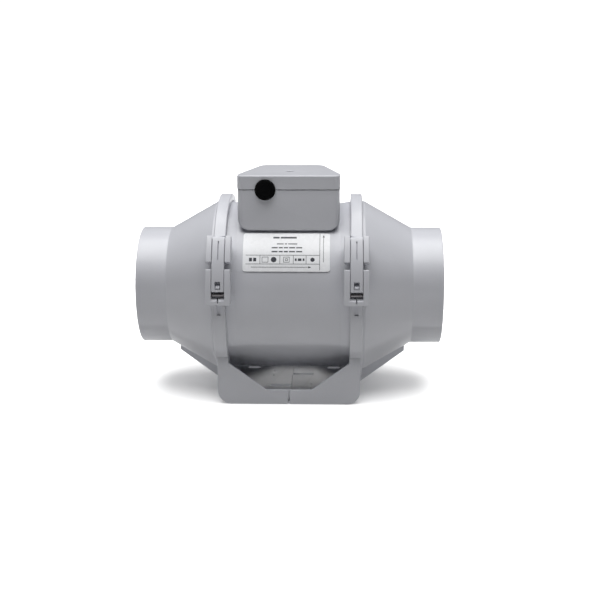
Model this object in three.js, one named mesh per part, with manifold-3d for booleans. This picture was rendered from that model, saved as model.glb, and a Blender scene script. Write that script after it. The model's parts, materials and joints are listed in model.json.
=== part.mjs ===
// Inline mixed-flow extractor fan for a 100 mm round duct, held in a two-part clamp bracket.
// Millimetres, +Z up, X along the duct with the air moving towards +X, latches towards -Y.
// Shapes are made about the duct axis and lifted by AXIS_Z, which puts the origin at the
// centre of the bracket's underside.
import * as THREE from 'three';
import { mergeVertices } from 'three/addons/utils/BufferGeometryUtils.js';
import Module from 'manifold-3d';

const wasm = await Module();
wasm.setup();

// Driving dimensions
const AXIS_Z = 86;           // duct axis above the surface the bracket stands on
const GAP = 0.3;             // clearance left between pieces that touch
const RING_STEPS = 36;       // facets round the large rings
const SMALL_STEPS = 12;      // facets round pins, screws and bosses

const SPIGOT_R = 48;         // outside of the 96 mm spigot that a 100 mm duct slides over
const SPIGOT_WALL = 2;
const SPIGOT_END_X = 123.5;
const CONE_NARROW_X = 99;    // where the spigot widens into the cone
const CONE_WIDE_X = 60.5;
const RIM_R = 69.8;          // plain rim beside the clamp

const BARREL_R = 68.2;       // outside of the centre casing
const CASING_WALL = 2.5;
const BARREL_HALF_X = 41;    // the casing flares from here to its flanges
const FLARE_R = 69.5;
const FLANGE_LIP_R = 72.4;   // lips that the clamps grip
const CASING_FACE_X = 53.2;
const CONE_FACE_X = 54;

const CLAMP_X = 53.6;        // middle plane of each clamp
const CLAMP_IN_R = 70.2;
const CLAMP_GROOVE_R = 73;
const CLAMP_OUT_R = 75.7;
const HOOP_HALF_W = 4.7;
const CRADLE_HALF_W = 5.2;
const GROOVE_HALF_W = 3;

const LATCH_HALF_W = 9.75;   // ear blocks, either side of the lever
const LEVER_HALF_W = 4.9;
const LATCH_FLOOR_R = 76.8;
const LATCH_OUT_R = 81.6;
const LEVER_MID_R = 79.3;
const LEVER_HALF_T = 2.3;
const LEVER_PIVOT_DEG = 38.2;
const LEVER_END_DEG = 7.9;

const HINGE_Y = 77;          // rear hinge of each hoop, from the duct axis
const HINGE_Z = 10;
const HINGE_PIN_R = 2;

const BASE_HALF_X = 57.2;
const BASE_HALF_Y = 59.3;
const BASE_WALL = 2.5;
const RAIL_HEIGHT = 12;
const FOOT_CORNER_R = 11;
const SHOULDER_HEIGHT = 39;  // where the upright foot meets the round cradle

const BOX_SEAM_Z = 85.6;     // rim of the terminal box above the duct axis
const BOX_TOP_Z = 97;
const BOX_BOTTOM_Z = 53.3;
const BOX_FRONT_Y = -46;
const BOX_WALL = 2.3;
const BOX_SADDLE_R = 69.1;   // hollow underside that sits over the casing
const SEAM_GAP = 0.4;

const HUB_R = 33;            // motor cup in the middle of the duct
const HUB_WALL = 2;
const HUB_START_X = -6;
const HUB_END_X = 42;
const SHAFT_R = 3;
const VANE_COUNT = 7;
const BLADE_COUNT = 9;

// Materials: colour, roughness, metalness
const MATERIALS = {
  shell: [0xdcdee1, 0.38, 0],
  innerPlastic: [0xc9ccd0, 0.5, 0],
  impellerPlastic: [0xb9bdc2, 0.45, 0],
  blackRubber: [0x0c0c0d, 0.75, 0],
  greySeal: [0x3a3b3d, 0.85, 0],
  steel: [0xb8babd, 0.32, 1],
  darkSteel: [0x57565a, 0.45, 1],
  lamination: [0x6f7276, 0.5, 1],
  copper: [0xb5652f, 0.4, 0.9],
  terminalPlastic: [0xe9e6dc, 0.55, 0],
  capacitorPlastic: [0xd6d2c4, 0.5, 0],
  label: [0xf4f5f7, 0.35, 0],
};

const group = new THREE.Group();

// Solid helpers

function solidFrom(geometry) {
  const bare = geometry.clone();
  bare.deleteAttribute('normal');
  bare.deleteAttribute('uv');
  const merged = mergeVertices(bare, 1e-4);
  const at = merged.getAttribute('position');
  const triangles = [];
  let sixVolumes = 0;
  const corners = [new THREE.Vector3(), new THREE.Vector3(), new THREE.Vector3()];
  for (let i = 0; i < merged.index.count; i += 3) {
    const ids = [0, 1, 2].map((k) => merged.index.getX(i + k));
    if (new Set(ids).size < 3) continue;
    ids.forEach((id, k) => corners[k].fromBufferAttribute(at, id));
    sixVolumes += corners[0].dot(corners[1].clone().cross(corners[2]));
    triangles.push(ids);
  }
  if (sixVolumes < 0) triangles.forEach((ids) => ids.reverse());
  return new wasm.Manifold(new wasm.Mesh({
    numProp: 3,
    vertProperties: new Float32Array(at.array),
    triVerts: new Uint32Array(triangles.flat()),
  }));
}

function add(name, solid, materialName) {
  const mesh = solid.translate([0, 0, AXIS_Z]).getMesh();
  const geometry = new THREE.BufferGeometry();
  geometry.setAttribute('position', new THREE.BufferAttribute(mesh.vertProperties, 3));
  geometry.setIndex(new THREE.BufferAttribute(mesh.triVerts, 1));
  geometry.computeVertexNormals();
  const [color, roughness, metalness] = MATERIALS[materialName];
  const material = new THREE.MeshStandardMaterial({ color, roughness, metalness });
  const node = new THREE.Mesh(geometry, material);
  node.name = name;
  group.add(node);
}

function unite(solids) {
  return solids.reduce((whole, solid) => whole.add(solid));
}

// Extrudes an outline of [u, v] pairs: along x they are [y, z], along y [x, z], along z [x, y].
function extrude(axis, outline, from, to, options = {}) {
  const flip = axis === 'y';
  const points = outline.map(([u, v]) => (flip ? new THREE.Vector2(v, u) : new THREE.Vector2(u, v)));
  const settings = { depth: to - from, bevelEnabled: false, ...options };
  const geometry = new THREE.ExtrudeGeometry(new THREE.Shape(points), settings);
  geometry.translate(0, 0, from);
  const x = new THREE.Vector3(1, 0, 0);
  const y = new THREE.Vector3(0, 1, 0);
  const z = new THREE.Vector3(0, 0, 1);
  const bases = { x: [y, z, x], y: [z, x, y], z: [x, y, z] };
  geometry.applyMatrix4(new THREE.Matrix4().makeBasis(...bases[axis]));
  return solidFrom(geometry);
}

function block([x0, x1], [y0, y1], [z0, z1]) {
  const geometry = new THREE.BoxGeometry(x1 - x0, y1 - y0, z1 - z0);
  geometry.translate((x0 + x1) / 2, (y0 + y1) / 2, (z0 + z1) / 2);
  return solidFrom(geometry);
}

// A cylinder along one axis; centre is the other two coordinates in x, y, z order.
function rod(axis, [u, v], radius, from, to, steps = SMALL_STEPS) {
  const geometry = new THREE.CylinderGeometry(radius, radius, to - from, steps);
  const middle = (from + to) / 2;
  if (axis === 'x') {
    geometry.rotateZ(-Math.PI / 2).translate(middle, u, v);
  } else if (axis === 'y') {
    geometry.translate(u, middle, v);
  } else {
    geometry.rotateX(Math.PI / 2).translate(u, v, middle);
  }
  return solidFrom(geometry);
}

// Spins a closed profile of [x, radius] pairs about the duct axis.
function spin(profile, steps = RING_STEPS) {
  const points = [...profile, profile[0]].map(([x, r]) => new THREE.Vector2(r, x));
  const geometry = new THREE.LatheGeometry(points, steps);
  geometry.rotateZ(-Math.PI / 2);
  return solidFrom(geometry);
}

// Angles round the duct axis: 0 faces the front, 90 is the top, 180 the rear, -90 the bottom.
function polar(radius, degrees) {
  const angle = THREE.MathUtils.degToRad(degrees);
  return [-radius * Math.cos(angle), radius * Math.sin(angle)];
}

function arc(radius, fromDeg, toDeg, stepDeg = 360 / RING_STEPS) {
  const count = Math.max(1, Math.ceil(Math.abs(toDeg - fromDeg) / stepDeg));
  const stepped = (toDeg - fromDeg) / count;
  return Array.from({ length: count + 1 }, (_, i) => polar(radius, fromDeg + stepped * i));
}

function sector(innerR, outerR, fromDeg, toDeg, x0, x1) {
  const outline = [...arc(outerR, fromDeg, toDeg), ...arc(innerR, toDeg, fromDeg)];
  return extrude('x', outline, x0, x1);
}

function pie(fromDeg, toDeg) {
  return extrude('x', [[0, 0], ...arc(150, fromDeg, toDeg, 30)], 0, 150);
}

// Outline of the smallest convex shape round a set of circles, each [x, y, radius]
function hullOfCircles(circles, inset = 0, steps = 20) {
  const points = circles.flatMap(([x, y, r]) => Array.from({ length: steps }, (_, i) => {
    const angle = (2 * Math.PI * i) / steps;
    return [x + (r - inset) * Math.cos(angle), y + (r - inset) * Math.sin(angle)];
  })).sort((p, q) => p[0] - q[0] || p[1] - q[1]);
  const turn = (o, p, q) => (p[0] - o[0]) * (q[1] - o[1]) - (p[1] - o[1]) * (q[0] - o[0]);
  const chain = (list) => list.reduce((hull, p) => {
    while (hull.length > 1 && turn(hull.at(-2), hull.at(-1), p) <= 1e-6) hull.pop();
    return [...hull, p];
  }, []);
  return [...chain(points).slice(0, -1), ...chain(points.reverse()).slice(0, -1)];
}

// Builds the outlet (+X) piece once and mirrors it for the inlet side.
function addBothEnds(name, solid, materialName) {
  add(`${name}_outlet`, solid, materialName);
  add(`${name}_inlet`, solid.mirror([1, 0, 0]), materialName);
}

// Duct cones and their seals

function ductCone() {
  const boreR = SPIGOT_R - SPIGOT_WALL;
  const flangeInR = 66;
  const [grooveInR, grooveOutR, grooveDepth] = [67.6, 70.2, 1.6];
  const lipBackX = CONE_FACE_X + 2;
  return spin([
    [CONE_FACE_X, flangeInR],
    [CONE_FACE_X, grooveInR],
    [CONE_FACE_X + grooveDepth, grooveInR],
    [CONE_FACE_X + grooveDepth, grooveOutR],
    [CONE_FACE_X, grooveOutR],
    [CONE_FACE_X, FLANGE_LIP_R],
    [lipBackX, FLANGE_LIP_R],
    [lipBackX, RIM_R],
    [CONE_WIDE_X, RIM_R],
    [CONE_NARROW_X, SPIGOT_R],
    [SPIGOT_END_X, SPIGOT_R],
    [SPIGOT_END_X, boreR],
    [CONE_NARROW_X - 1.5, boreR],
    [CONE_WIDE_X, flangeInR],
  ]);
}

function flangeSeal() {
  return spin([[53.45, 67.9], [55.4, 67.9], [55.4, 69.9], [53.45, 69.9]]);
}

// Centre casing

const LEAD_X = 18;                    // motor leads rise through the top guide vane here
const LEAD_R = 2.2;
const BUSH_R = 4.2;
const BOX_SCREWS = [[-28, -12], [28, -12]];
const BOX_SCREW_R = 1.5;

function centreCasing() {
  const innerR = BARREL_R - CASING_WALL;
  const lipBackX = CASING_FACE_X - 2;
  const half = [
    [BARREL_HALF_X, BARREL_R],
    [49, FLARE_R],
    [lipBackX, FLARE_R],
    [lipBackX, FLANGE_LIP_R],
    [CASING_FACE_X, FLANGE_LIP_R],
    [CASING_FACE_X, innerR],
  ];
  const mirrored = half.map(([x, r]) => [-x, r]).reverse();
  const holes = BOX_SCREWS.map((at) => rod('z', at, BOX_SCREW_R + GAP, 60, 72));
  holes.push(rod('z', [LEAD_X, 0], BUSH_R + GAP, 60, 72));
  return spin([...mirrored, ...half]).subtract(unite(holes));
}

// A thin sheet bent round the front of the barrel
function ratingLabel() {
  return sector(BARREL_R + GAP, BARREL_R + GAP + 0.3, 20.6, 48, -35.5, 32.8);
}

// Clamp hoops, latches and hinges. Each is made for the outlet side, about CLAMP_X.

// A channel section, open inwards over the flange lips of the casing and the cone
function clampRing(halfWidth) {
  return spin([
    [CLAMP_X - halfWidth, CLAMP_IN_R],
    [CLAMP_X - halfWidth, CLAMP_OUT_R],
    [CLAMP_X + halfWidth, CLAMP_OUT_R],
    [CLAMP_X + halfWidth, CLAMP_IN_R],
    [CLAMP_X + GROOVE_HALF_W, CLAMP_IN_R],
    [CLAMP_X + GROOVE_HALF_W, CLAMP_GROOVE_R],
    [CLAMP_X - GROOVE_HALF_W, CLAMP_GROOVE_R],
    [CLAMP_X - GROOVE_HALF_W, CLAMP_IN_R],
  ]);
}

const LEVER_PIVOT = polar(LEVER_MID_R, LEVER_PIVOT_DEG);
const LATCH_PIN_R = 1.2;
const PIN_FIT = 0.1;         // radial room round each pin
const HOOP_FRONT_DEG = 24.2;
const HOOP_REAR_DEG = 168;
const EAR_TOP_DEG = 40;
const BLOCK_IN_R = 74.4;     // under the thinnest part of the ring, so blocks join it solidly

function clampHoop() {
  const band = clampRing(HOOP_HALF_W).intersect(pie(HOOP_FRONT_DEG, HOOP_REAR_DEG));
  const earBlock = sector(
    BLOCK_IN_R, LATCH_OUT_R, HOOP_FRONT_DEG, EAR_TOP_DEG,
    CLAMP_X - LATCH_HALF_W, CLAMP_X + LATCH_HALF_W,
  );
  const leverChannel = sector(
    LATCH_FLOOR_R, LATCH_OUT_R + 2, HOOP_FRONT_DEG - 2, EAR_TOP_DEG + 2,
    CLAMP_X - LEVER_HALF_W - GAP, CLAMP_X + LEVER_HALF_W + GAP,
  );
  const pinHole = rod('x', LEVER_PIVOT, LATCH_PIN_R + PIN_FIT, 0, 100);
  const [x0, x1] = [CLAMP_X - HOOP_HALF_W, CLAMP_X + HOOP_HALF_W];
  const knuckleR = 4.2;
  const lug = extrude('x', [
    polar(CLAMP_OUT_R, 158),
    [HINGE_Y + 2.8, HINGE_Z + 3.1],
    [HINGE_Y - 3.1, HINGE_Z - 2.8],
    polar(CLAMP_GROOVE_R + GAP, HOOP_REAR_DEG),
  ], x0, x1);
  const knuckle = rod('x', [HINGE_Y, HINGE_Z], knuckleR, x0, x1);
  const hingeHole = rod('x', [HINGE_Y, HINGE_Z], HINGE_PIN_R + PIN_FIT, 0, 100);
  return unite([band, earBlock.subtract(leverChannel), lug, knuckle])
    .subtract(unite([pinHole, hingeHole]));
}

function latchLever() {
  const [innerR, outerR] = [LEVER_MID_R - LEVER_HALF_T, LEVER_MID_R + LEVER_HALF_T];
  const [x0, x1] = [CLAMP_X - LEVER_HALF_W, CLAMP_X + LEVER_HALF_W];
  const strip = sector(innerR, outerR, LEVER_END_DEG, LEVER_PIVOT_DEG, x0, x1);
  const roundEnd = rod('x', LEVER_PIVOT, LEVER_HALF_T, x0, x1);
  const window = sector(innerR - 2, outerR + 2, 9.3, 13.5, CLAMP_X - 2.1, CLAMP_X + 2.1);
  const slit = sector(outerR - 1.5, outerR + 2, 25.6, 36.4, CLAMP_X - 0.4, CLAMP_X + 0.4);
  const pinHole = rod('x', LEVER_PIVOT, LATCH_PIN_R + PIN_FIT, 0, 100);
  return strip.add(roundEnd).subtract(unite([window, slit, pinHole]));
}

function latchPin() {
  const halfLength = LATCH_HALF_W - 0.6;
  return rod('x', LEVER_PIVOT, LATCH_PIN_R, CLAMP_X - halfLength, CLAMP_X + halfLength);
}

const EAR_HALF_W = 9.6;

function hingePin() {
  const halfLength = EAR_HALF_W - 0.5;
  return rod('x', [HINGE_Y, HINGE_Z], HINGE_PIN_R, CLAMP_X - halfLength, CLAMP_X + halfLength);
}

const CATCH_LOW_DEG = 0.6;
const CATCH_TOP_DEG = 20.3;
const CATCH_PIN_DEG = 6.2;
const CATCH_PIN_R = 1.4;

function catchPin() {
  const at = polar(LEVER_MID_R - 0.6, CATCH_PIN_DEG);
  return rod('x', at, CATCH_PIN_R, CLAMP_X - LEVER_HALF_W, CLAMP_X + LEVER_HALF_W);
}

function catchBlock() {
  const [x0, x1] = [CLAMP_X - LATCH_HALF_W, CLAMP_X + LATCH_HALF_W];
  const [channelX0, channelX1] = [CLAMP_X - LEVER_HALF_W - GAP, CLAMP_X + LEVER_HALF_W + GAP];
  const body = sector(BLOCK_IN_R, LATCH_OUT_R, CATCH_LOW_DEG, CATCH_TOP_DEG, x0, x1);
  const channel = sector(
    LATCH_FLOOR_R, LATCH_OUT_R + 2, 4.6, CATCH_TOP_DEG + 2, channelX0, channelX1,
  );
  const lowerLedge = extrude('x', [
    polar(LATCH_FLOOR_R, 4.8), polar(LATCH_OUT_R + 2, 4.8), polar(LATCH_OUT_R + 2, 2.2),
  ], channelX0, channelX1);
  const ledgeSlit = sector(
    LATCH_FLOOR_R, LATCH_OUT_R + 2, 1.5, 5, CLAMP_X - 0.5, CLAMP_X + 0.5,
  );
  const tooth = extrude('x', [
    polar(LATCH_FLOOR_R - 1, 9.7), polar(81, 9.7), polar(81, 10.6),
    polar(LATCH_FLOOR_R, 12.8), polar(LATCH_FLOOR_R - 1, 12.8),
  ], CLAMP_X - 1.7, CLAMP_X + 1.7);
  return unite([body.subtract(unite([channel, lowerLedge, ledgeSlit])), tooth]);
}

// Bracket halves

const FLOOR_Z = -AXIS_Z;
const SPLIT_X = 0.15;

// Quarter circle from straight down to straight outwards
function quarterTurn(x, z, radius) {
  return Array.from({ length: 6 }, (_, i) => {
    const angle = (Math.PI / 10) * i;
    return [x + radius * Math.sin(angle), z - radius * Math.cos(angle)];
  });
}

function footBend(radius) {
  return quarterTurn(BASE_HALF_X - FOOT_CORNER_R, FLOOR_Z + FOOT_CORNER_R, radius);
}

// The foot seen from the front: rail, sloping gusset, upright edge and rounded corner.
function footOutline() {
  const gussetFoot = 18.2;
  const gussetHead = [CLAMP_X - CRADLE_HALF_W, FLOOR_Z + 34.2];
  return [
    [SPLIT_X + 1, FLOOR_Z],
    ...footBend(FOOT_CORNER_R),
    [BASE_HALF_X, FLOOR_Z + SHOULDER_HEIGHT],
    [gussetHead[0], FLOOR_Z + SHOULDER_HEIGHT],
    gussetHead,
    [gussetFoot, FLOOR_Z + RAIL_HEIGHT],
    [SPLIT_X, FLOOR_Z + RAIL_HEIGHT],
    [SPLIT_X, FLOOR_Z + 9],
  ];
}

// Floor and outer wall in one bent sheet, running from front to rear
function trayOutline() {
  const wallTop = FLOOR_Z + SHOULDER_HEIGHT;
  return [
    [SPLIT_X, FLOOR_Z],
    ...footBend(FOOT_CORNER_R),
    [BASE_HALF_X, wallTop],
    [BASE_HALF_X - BASE_WALL, wallTop],
    ...footBend(FOOT_CORNER_R - BASE_WALL).reverse(),
    [SPLIT_X, FLOOR_Z + BASE_WALL],
  ];
}

function coneRib() {
  const halfThick = 1.5;
  return extrude('y', [
    [52, FLOOR_Z + 1.5], [57, FLOOR_Z + 1],
    [95, FLOOR_Z + 29.2], [95, FLOOR_Z + 33.6],
    [57, FLOOR_Z + 13.4], [52, FLOOR_Z + 10],
  ], -halfThick, halfThick);
}

function rearHingeEars() {
  const seatR = 79.5;
  const eyeR = 4.6;
  const seat = sector(BLOCK_IN_R, seatR, 184, 197, CLAMP_X - EAR_HALF_W, CLAMP_X + EAR_HALF_W);
  const arm = [
    [HINGE_Y - 4.4, HINGE_Z - 1.2], [HINGE_Y + 4.4, HINGE_Z - 1.2],
    polar(seatR, 190), polar(BLOCK_IN_R, 186),
  ];
  const ears = [[-EAR_HALF_W, -CRADLE_HALF_W], [CRADLE_HALF_W, EAR_HALF_W]].map(([from, to]) => (
    extrude('x', arm, CLAMP_X + from, CLAMP_X + to)
      .add(rod('x', [HINGE_Y, HINGE_Z], eyeR, CLAMP_X + from, CLAMP_X + to))
  ));
  const pinHole = rod('x', [HINGE_Y, HINGE_Z], HINGE_PIN_R + PIN_FIT, 0, 100);
  return unite([seat, ...ears]).subtract(pinHole);
}

// slotSide says which way from the middle, along y, the slot beside the split lies.
function bracketHalf(slotSide) {
  const cradle = clampRing(CRADLE_HALF_W).intersect(pie(183, 360 + CATCH_TOP_DEG));
  const room = rod('x', [0, 0], CLAMP_GROOVE_R + GAP, 0, 100, RING_STEPS);
  const walls = [-BASE_HALF_Y, BASE_HALF_Y - BASE_WALL].map((y) => (
    extrude('y', footOutline(), y, y + BASE_WALL)
  ));
  const tray = extrude('y', trayOutline(), -BASE_HALF_Y + GAP, BASE_HALF_Y - GAP);
  const whole = unite([
    cradle,
    unite([tray, ...walls]).subtract(room),
    catchBlock(),
    rearHingeEars(),
    coneRib(),
  ]);
  const through = [FLOOR_Z - 1, FLOOR_Z + BASE_WALL + 1];
  const splitSlotY = slotSide * 16.3;
  const splitSlot = block([-1, 18], [splitSlotY - 2.2, splitSlotY + 2.2], through);
  const fixingSlotR = 2.7;
  const fixingSlotXs = [32, 38];
  const fixingSlots = [-36, 36].map((y) => unite([
    block(fixingSlotXs, [y - fixingSlotR, y + fixingSlotR], through),
    ...fixingSlotXs.map((x) => rod('z', [x, y], fixingSlotR, ...through)),
  ]));
  const pinHoles = [12.3, 24.3].map((y) => rod('z', [16.5, -slotSide * y], 1.1, ...through, 6));
  const strapSlot = sector(BLOCK_IN_R, LATCH_OUT_R + 2, -6.6, 0, CLAMP_X - 1.5, CLAMP_X + 1.5);
  return whole.subtract(unite([splitSlot, ...fixingSlots, ...pinHoles, strapSlot]));
}

// Terminal box and what is in it

const BOX_PLAN = [-1, 1].flatMap((side) => [
  [side * 35.8, BOX_FRONT_Y + 4.5, 4.5],
  [side * 35.8, -33, 4.5],
  [side * 19.5, 22, 8],
]);
const GROMMET_X = -18.3;
const GROMMET_Z = BOX_SEAM_Z + SEAM_GAP / 2;
const GROMMET_NECK_R = 6;
const GROMMET_FLANGE_R = 8.2;
const COVER_SCREW = [0, -16.5];
const COVER_SCREW_R = 1.5;
const REBATE = 1.2;
const CLAMP_SCREW_POSTS = [[-27.5, -31], [-9, -31]];
const CLAMP_POST_TOP_Z = 86.5;
const TERMINAL_BLOCK = { x: [7.5, 35.5], y: [-38, -24], z: [72.3, 84] };
const TERMINAL_SCREWS = [[12.2, -31], [21.5, -31], [30.8, -31]];
const CAPACITOR = { x: [-26, 8], y: [3, 18], z: [72.3, 90] };
const PAD_TOP_Z = 72;
const CORD_CLAMP_THICK = 3;

function boxPlan(inset) {
  return hullOfCircles(BOX_PLAN, inset);
}

function cordSlot() {
  const from = BOX_FRONT_Y - 5;
  const to = BOX_FRONT_Y + 12;
  return rod('y', [GROMMET_X, GROMMET_Z], GROMMET_NECK_R + GAP, from, to, 24);
}

// The box seen from the front, with its rounded lower corners
function boxFront(inset) {
  const cornerR = 9.5;
  const halfWidth = 40.3;
  const side = quarterTurn(halfWidth - cornerR, BOX_BOTTOM_Z + cornerR, cornerR - inset);
  side.push([halfWidth - inset, BOX_SEAM_Z + 5]);
  return [...side, ...side.map(([x, z]) => [-x, z]).reverse()];
}

function terminalBox() {
  const outside = extrude('z', boxPlan(0), 40, BOX_SEAM_Z)
    .intersect(extrude('y', boxFront(0), -60, 60));
  const floor = rod('x', [0, 0], BOX_SADDLE_R + 2, -60, 60, RING_STEPS);
  const inside = extrude('z', boxPlan(BOX_WALL), 50, BOX_SEAM_Z + 5)
    .intersect(extrude('y', boxFront(BOX_WALL), -60, 60));
  const post = (at, radius, top) => rod('z', at, radius, 55, top);
  const pad = ({ x, y }) => block(x, y, [58, PAD_TOP_Z]);
  const furniture = unite([
    post(COVER_SCREW, 4.2, BOX_SEAM_Z),
    ...CLAMP_SCREW_POSTS.map((at) => post(at, 3.2, CLAMP_POST_TOP_Z)),
    ...BOX_SCREWS.map((at) => post(at, 4.2, PAD_TOP_Z)),
    pad(TERMINAL_BLOCK),
    pad(CAPACITOR),
  ]);
  const holes = unite([
    rod('z', COVER_SCREW, COVER_SCREW_R + 0.2, 73, 100),
    ...CLAMP_SCREW_POSTS.map((at) => rod('z', at, 1.5, 76, 100, 8)),
    ...BOX_SCREWS.map((at) => rod('z', at, BOX_SCREW_R + GAP, 40, 100)),
    rod('z', [LEAD_X, 0], BUSH_R + GAP, 40, 100),
    cordSlot(),
  ]);
  const rebate = extrude('z', boxPlan(REBATE), BOX_SEAM_Z - REBATE, 100)
    .subtract(extrude('z', boxPlan(BOX_WALL + 0.01), 70, 110));
  const saddle = rod('x', [0, 0], BOX_SADDLE_R, -60, 60, RING_STEPS);
  const roomForPosts = extrude('z', boxPlan(BOX_WALL), 80, CLAMP_POST_TOP_Z);
  return outside
    .subtract(inside.subtract(floor))
    .add(furniture.intersect(outside.add(roomForPosts)))
    .subtract(unite([holes, rebate, saddle]));
}

function terminalCover() {
  const [bottom, edge] = [BOX_SEAM_Z + SEAM_GAP, 1];
  const proud = -0.4;
  const skin = 2.4;
  const slab = extrude('z', boxPlan(proud + edge), bottom - 4, BOX_TOP_Z - edge, {
    bevelEnabled: true, bevelThickness: edge, bevelSize: edge, bevelSegments: 2, curveSegments: 1,
  });
  const inside = extrude('z', boxPlan(BOX_WALL), bottom - 10, BOX_TOP_Z - skin);
  const boss = rod('z', COVER_SCREW, 5.2, bottom + 0.5, BOX_TOP_Z - skin + 1);
  const recess = rod('z', COVER_SCREW, 3.6, BOX_TOP_Z - 4, BOX_TOP_Z + 2);
  const screwHole = rod('z', COVER_SCREW, COVER_SCREW_R + GAP, bottom - 10, BOX_TOP_Z + 2);
  const rebate = extrude('z', boxPlan(REBATE), bottom - 10, bottom + REBATE);
  const below = block([-60, 60], [-60, 60], [bottom - 20, bottom]);
  return slab
    .subtract(inside)
    .add(boss)
    .subtract(unite([recess, screwHole, rebate.subtract(boss), below, cordSlot()]));
}

function coverGasket() {
  const [from, to] = [BOX_SEAM_Z - REBATE + 0.1, BOX_SEAM_Z + SEAM_GAP + REBATE - 0.1];
  return extrude('z', boxPlan(REBATE + 0.15), from, to)
    .subtract(extrude('z', boxPlan(BOX_WALL + 0.1), 70, 110))
    .subtract(rod('y', [GROMMET_X, GROMMET_Z], GROMMET_NECK_R + 2.4, -60, -30, 24));
}

function cableGrommet() {
  const wallIn = BOX_FRONT_Y + BOX_WALL + GAP;
  const wallOut = BOX_FRONT_Y - 0.4 - GAP;
  const disc = (radius, from, to) => rod('y', [GROMMET_X, GROMMET_Z], radius, from, to, 20);
  return unite([
    disc(GROMMET_NECK_R, wallOut - 0.5, wallIn + 0.5),
    disc(GROMMET_FLANGE_R, wallOut - 1.4, wallOut),
    disc(GROMMET_FLANGE_R - 1, wallOut - 2.2, wallOut - 1),
    disc(GROMMET_NECK_R + 1.2, wallIn, wallIn + 1.6),
  ]);
}

// Pan-head screw standing along z, with a slot across its head
function screw([x, y], shankR, headR, headFrom, headHeight, tip) {
  const head = rod('z', [x, y], headR, headFrom, headFrom + headHeight, 10);
  const shank = rod('z', [x, y], shankR, tip, headFrom + 0.5, 8);
  const half = headR * 0.13;
  const slotDepth = [headFrom + headHeight * 0.5, headFrom + headHeight + 1];
  return head.add(shank).subtract(block([x - headR, x + headR], [y - half, y + half], slotDepth));
}

function terminalBlock() {
  const { x, y, z } = TERMINAL_BLOCK;
  const wells = TERMINAL_SCREWS.map((at) => rod('z', at, 2.6, z[1] - 6, z[1] + 1, 10));
  const wireHoles = TERMINAL_SCREWS.map(([at]) => rod('y', [at, z[0] + 4], 1.9, y[0] - 1, y[0] + 5, 8));
  return block(x, y, z).subtract(unite([...wells, ...wireHoles]));
}

function cordClamp() {
  const [left, right] = CLAMP_SCREW_POSTS;
  const y = left[1];
  const bottom = CLAMP_POST_TOP_Z + GAP;
  const holes = CLAMP_SCREW_POSTS.map((at) => rod('z', at, 1.7, bottom - 1, bottom + 5, 10));
  return block([left[0] - 3.5, right[0] + 3.5], [y - 3, y + 3], [bottom, bottom + CORD_CLAMP_THICK])
    .subtract(unite([
      ...holes,
      rod('y', [(left[0] + right[0]) / 2, bottom - 1.4], 3.2, y - 4, y + 4),
    ]));
}

function leadSleeve() {
  const radius = LEAD_R - 0.1;
  const [hubTop, bendStart, bendTop] = [31.4, 74, 82];
  const end = new THREE.Vector3(LEAD_X + 3, TERMINAL_BLOCK.y[1] + 2.2, 77);
  const corner = (x, y, z) => new THREE.Vector3(x, y, z);
  const path = new THREE.CurvePath();
  path.add(new THREE.LineCurve3(corner(LEAD_X, 0, hubTop), corner(LEAD_X, 0, bendStart)));
  path.add(new THREE.CubicBezierCurve3(
    corner(LEAD_X, 0, bendStart),
    corner(LEAD_X, 0, bendTop + 4),
    corner(end.x, end.y + 6, bendTop),
    end,
  ));
  const outline = Array.from({ length: 8 }, (_, i) => {
    const angle = (Math.PI / 4) * i;
    return new THREE.Vector2(radius * Math.cos(angle), radius * Math.sin(angle));
  });
  const settings = { extrudePath: path, steps: 14 };
  return solidFrom(new THREE.ExtrudeGeometry(new THREE.Shape(outline), settings));
}

function leadBush() {
  return unite([
    rod('z', [LEAD_X, 0], BUSH_R, 65.6, 72),
    rod('z', [LEAD_X, 0], BUSH_R + 2, 71.5, 73),
  ]).subtract(rod('z', [LEAD_X, 0], LEAD_R + 0.1, 60, 80));
}

// Blade or vane: a thin box bent round the duct axis. It goes from hubR to tipR, each a pair
// of radii at the leading and trailing edges, and turns by turnDeg on the way. More cells keep
// a strongly turned blade's two sides at an even distance.
function bentBlade({ x, hubR, tipR, startDeg, turnDeg, thick, cells }) {
  const geometry = new THREE.BoxGeometry(1, 1, 1, cells.along, 1, cells.outwards);
  const at = geometry.getAttribute('position');
  const mix = (pair, share) => pair[0] + (pair[1] - pair[0]) * share;
  for (let i = 0; i < at.count; i += 1) {
    const along = at.getX(i) + 0.5;
    const radius = mix([mix(hubR, along), mix(tipR, along)], at.getZ(i) + 0.5);
    const middle = THREE.MathUtils.degToRad(startDeg + turnDeg * along);
    const angle = middle + (at.getY(i) * thick) / radius;
    at.setXYZ(i, mix(x, along), -radius * Math.cos(angle), radius * Math.sin(angle));
  }
  return solidFrom(geometry);
}

// Motor cup, guide vanes and the sleeve round them

const MOTOR_SCREWS = [90, 210, 330].map((degrees) => polar(22, degrees));
const VANE_X = [-2, 38];
const VANE_TURN_DEG = 10;
const SLEEVE_R = 65.2;
const SLEEVE_WALL = 1.5;
const LEAD_VANE_THICK = 9;

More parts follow.
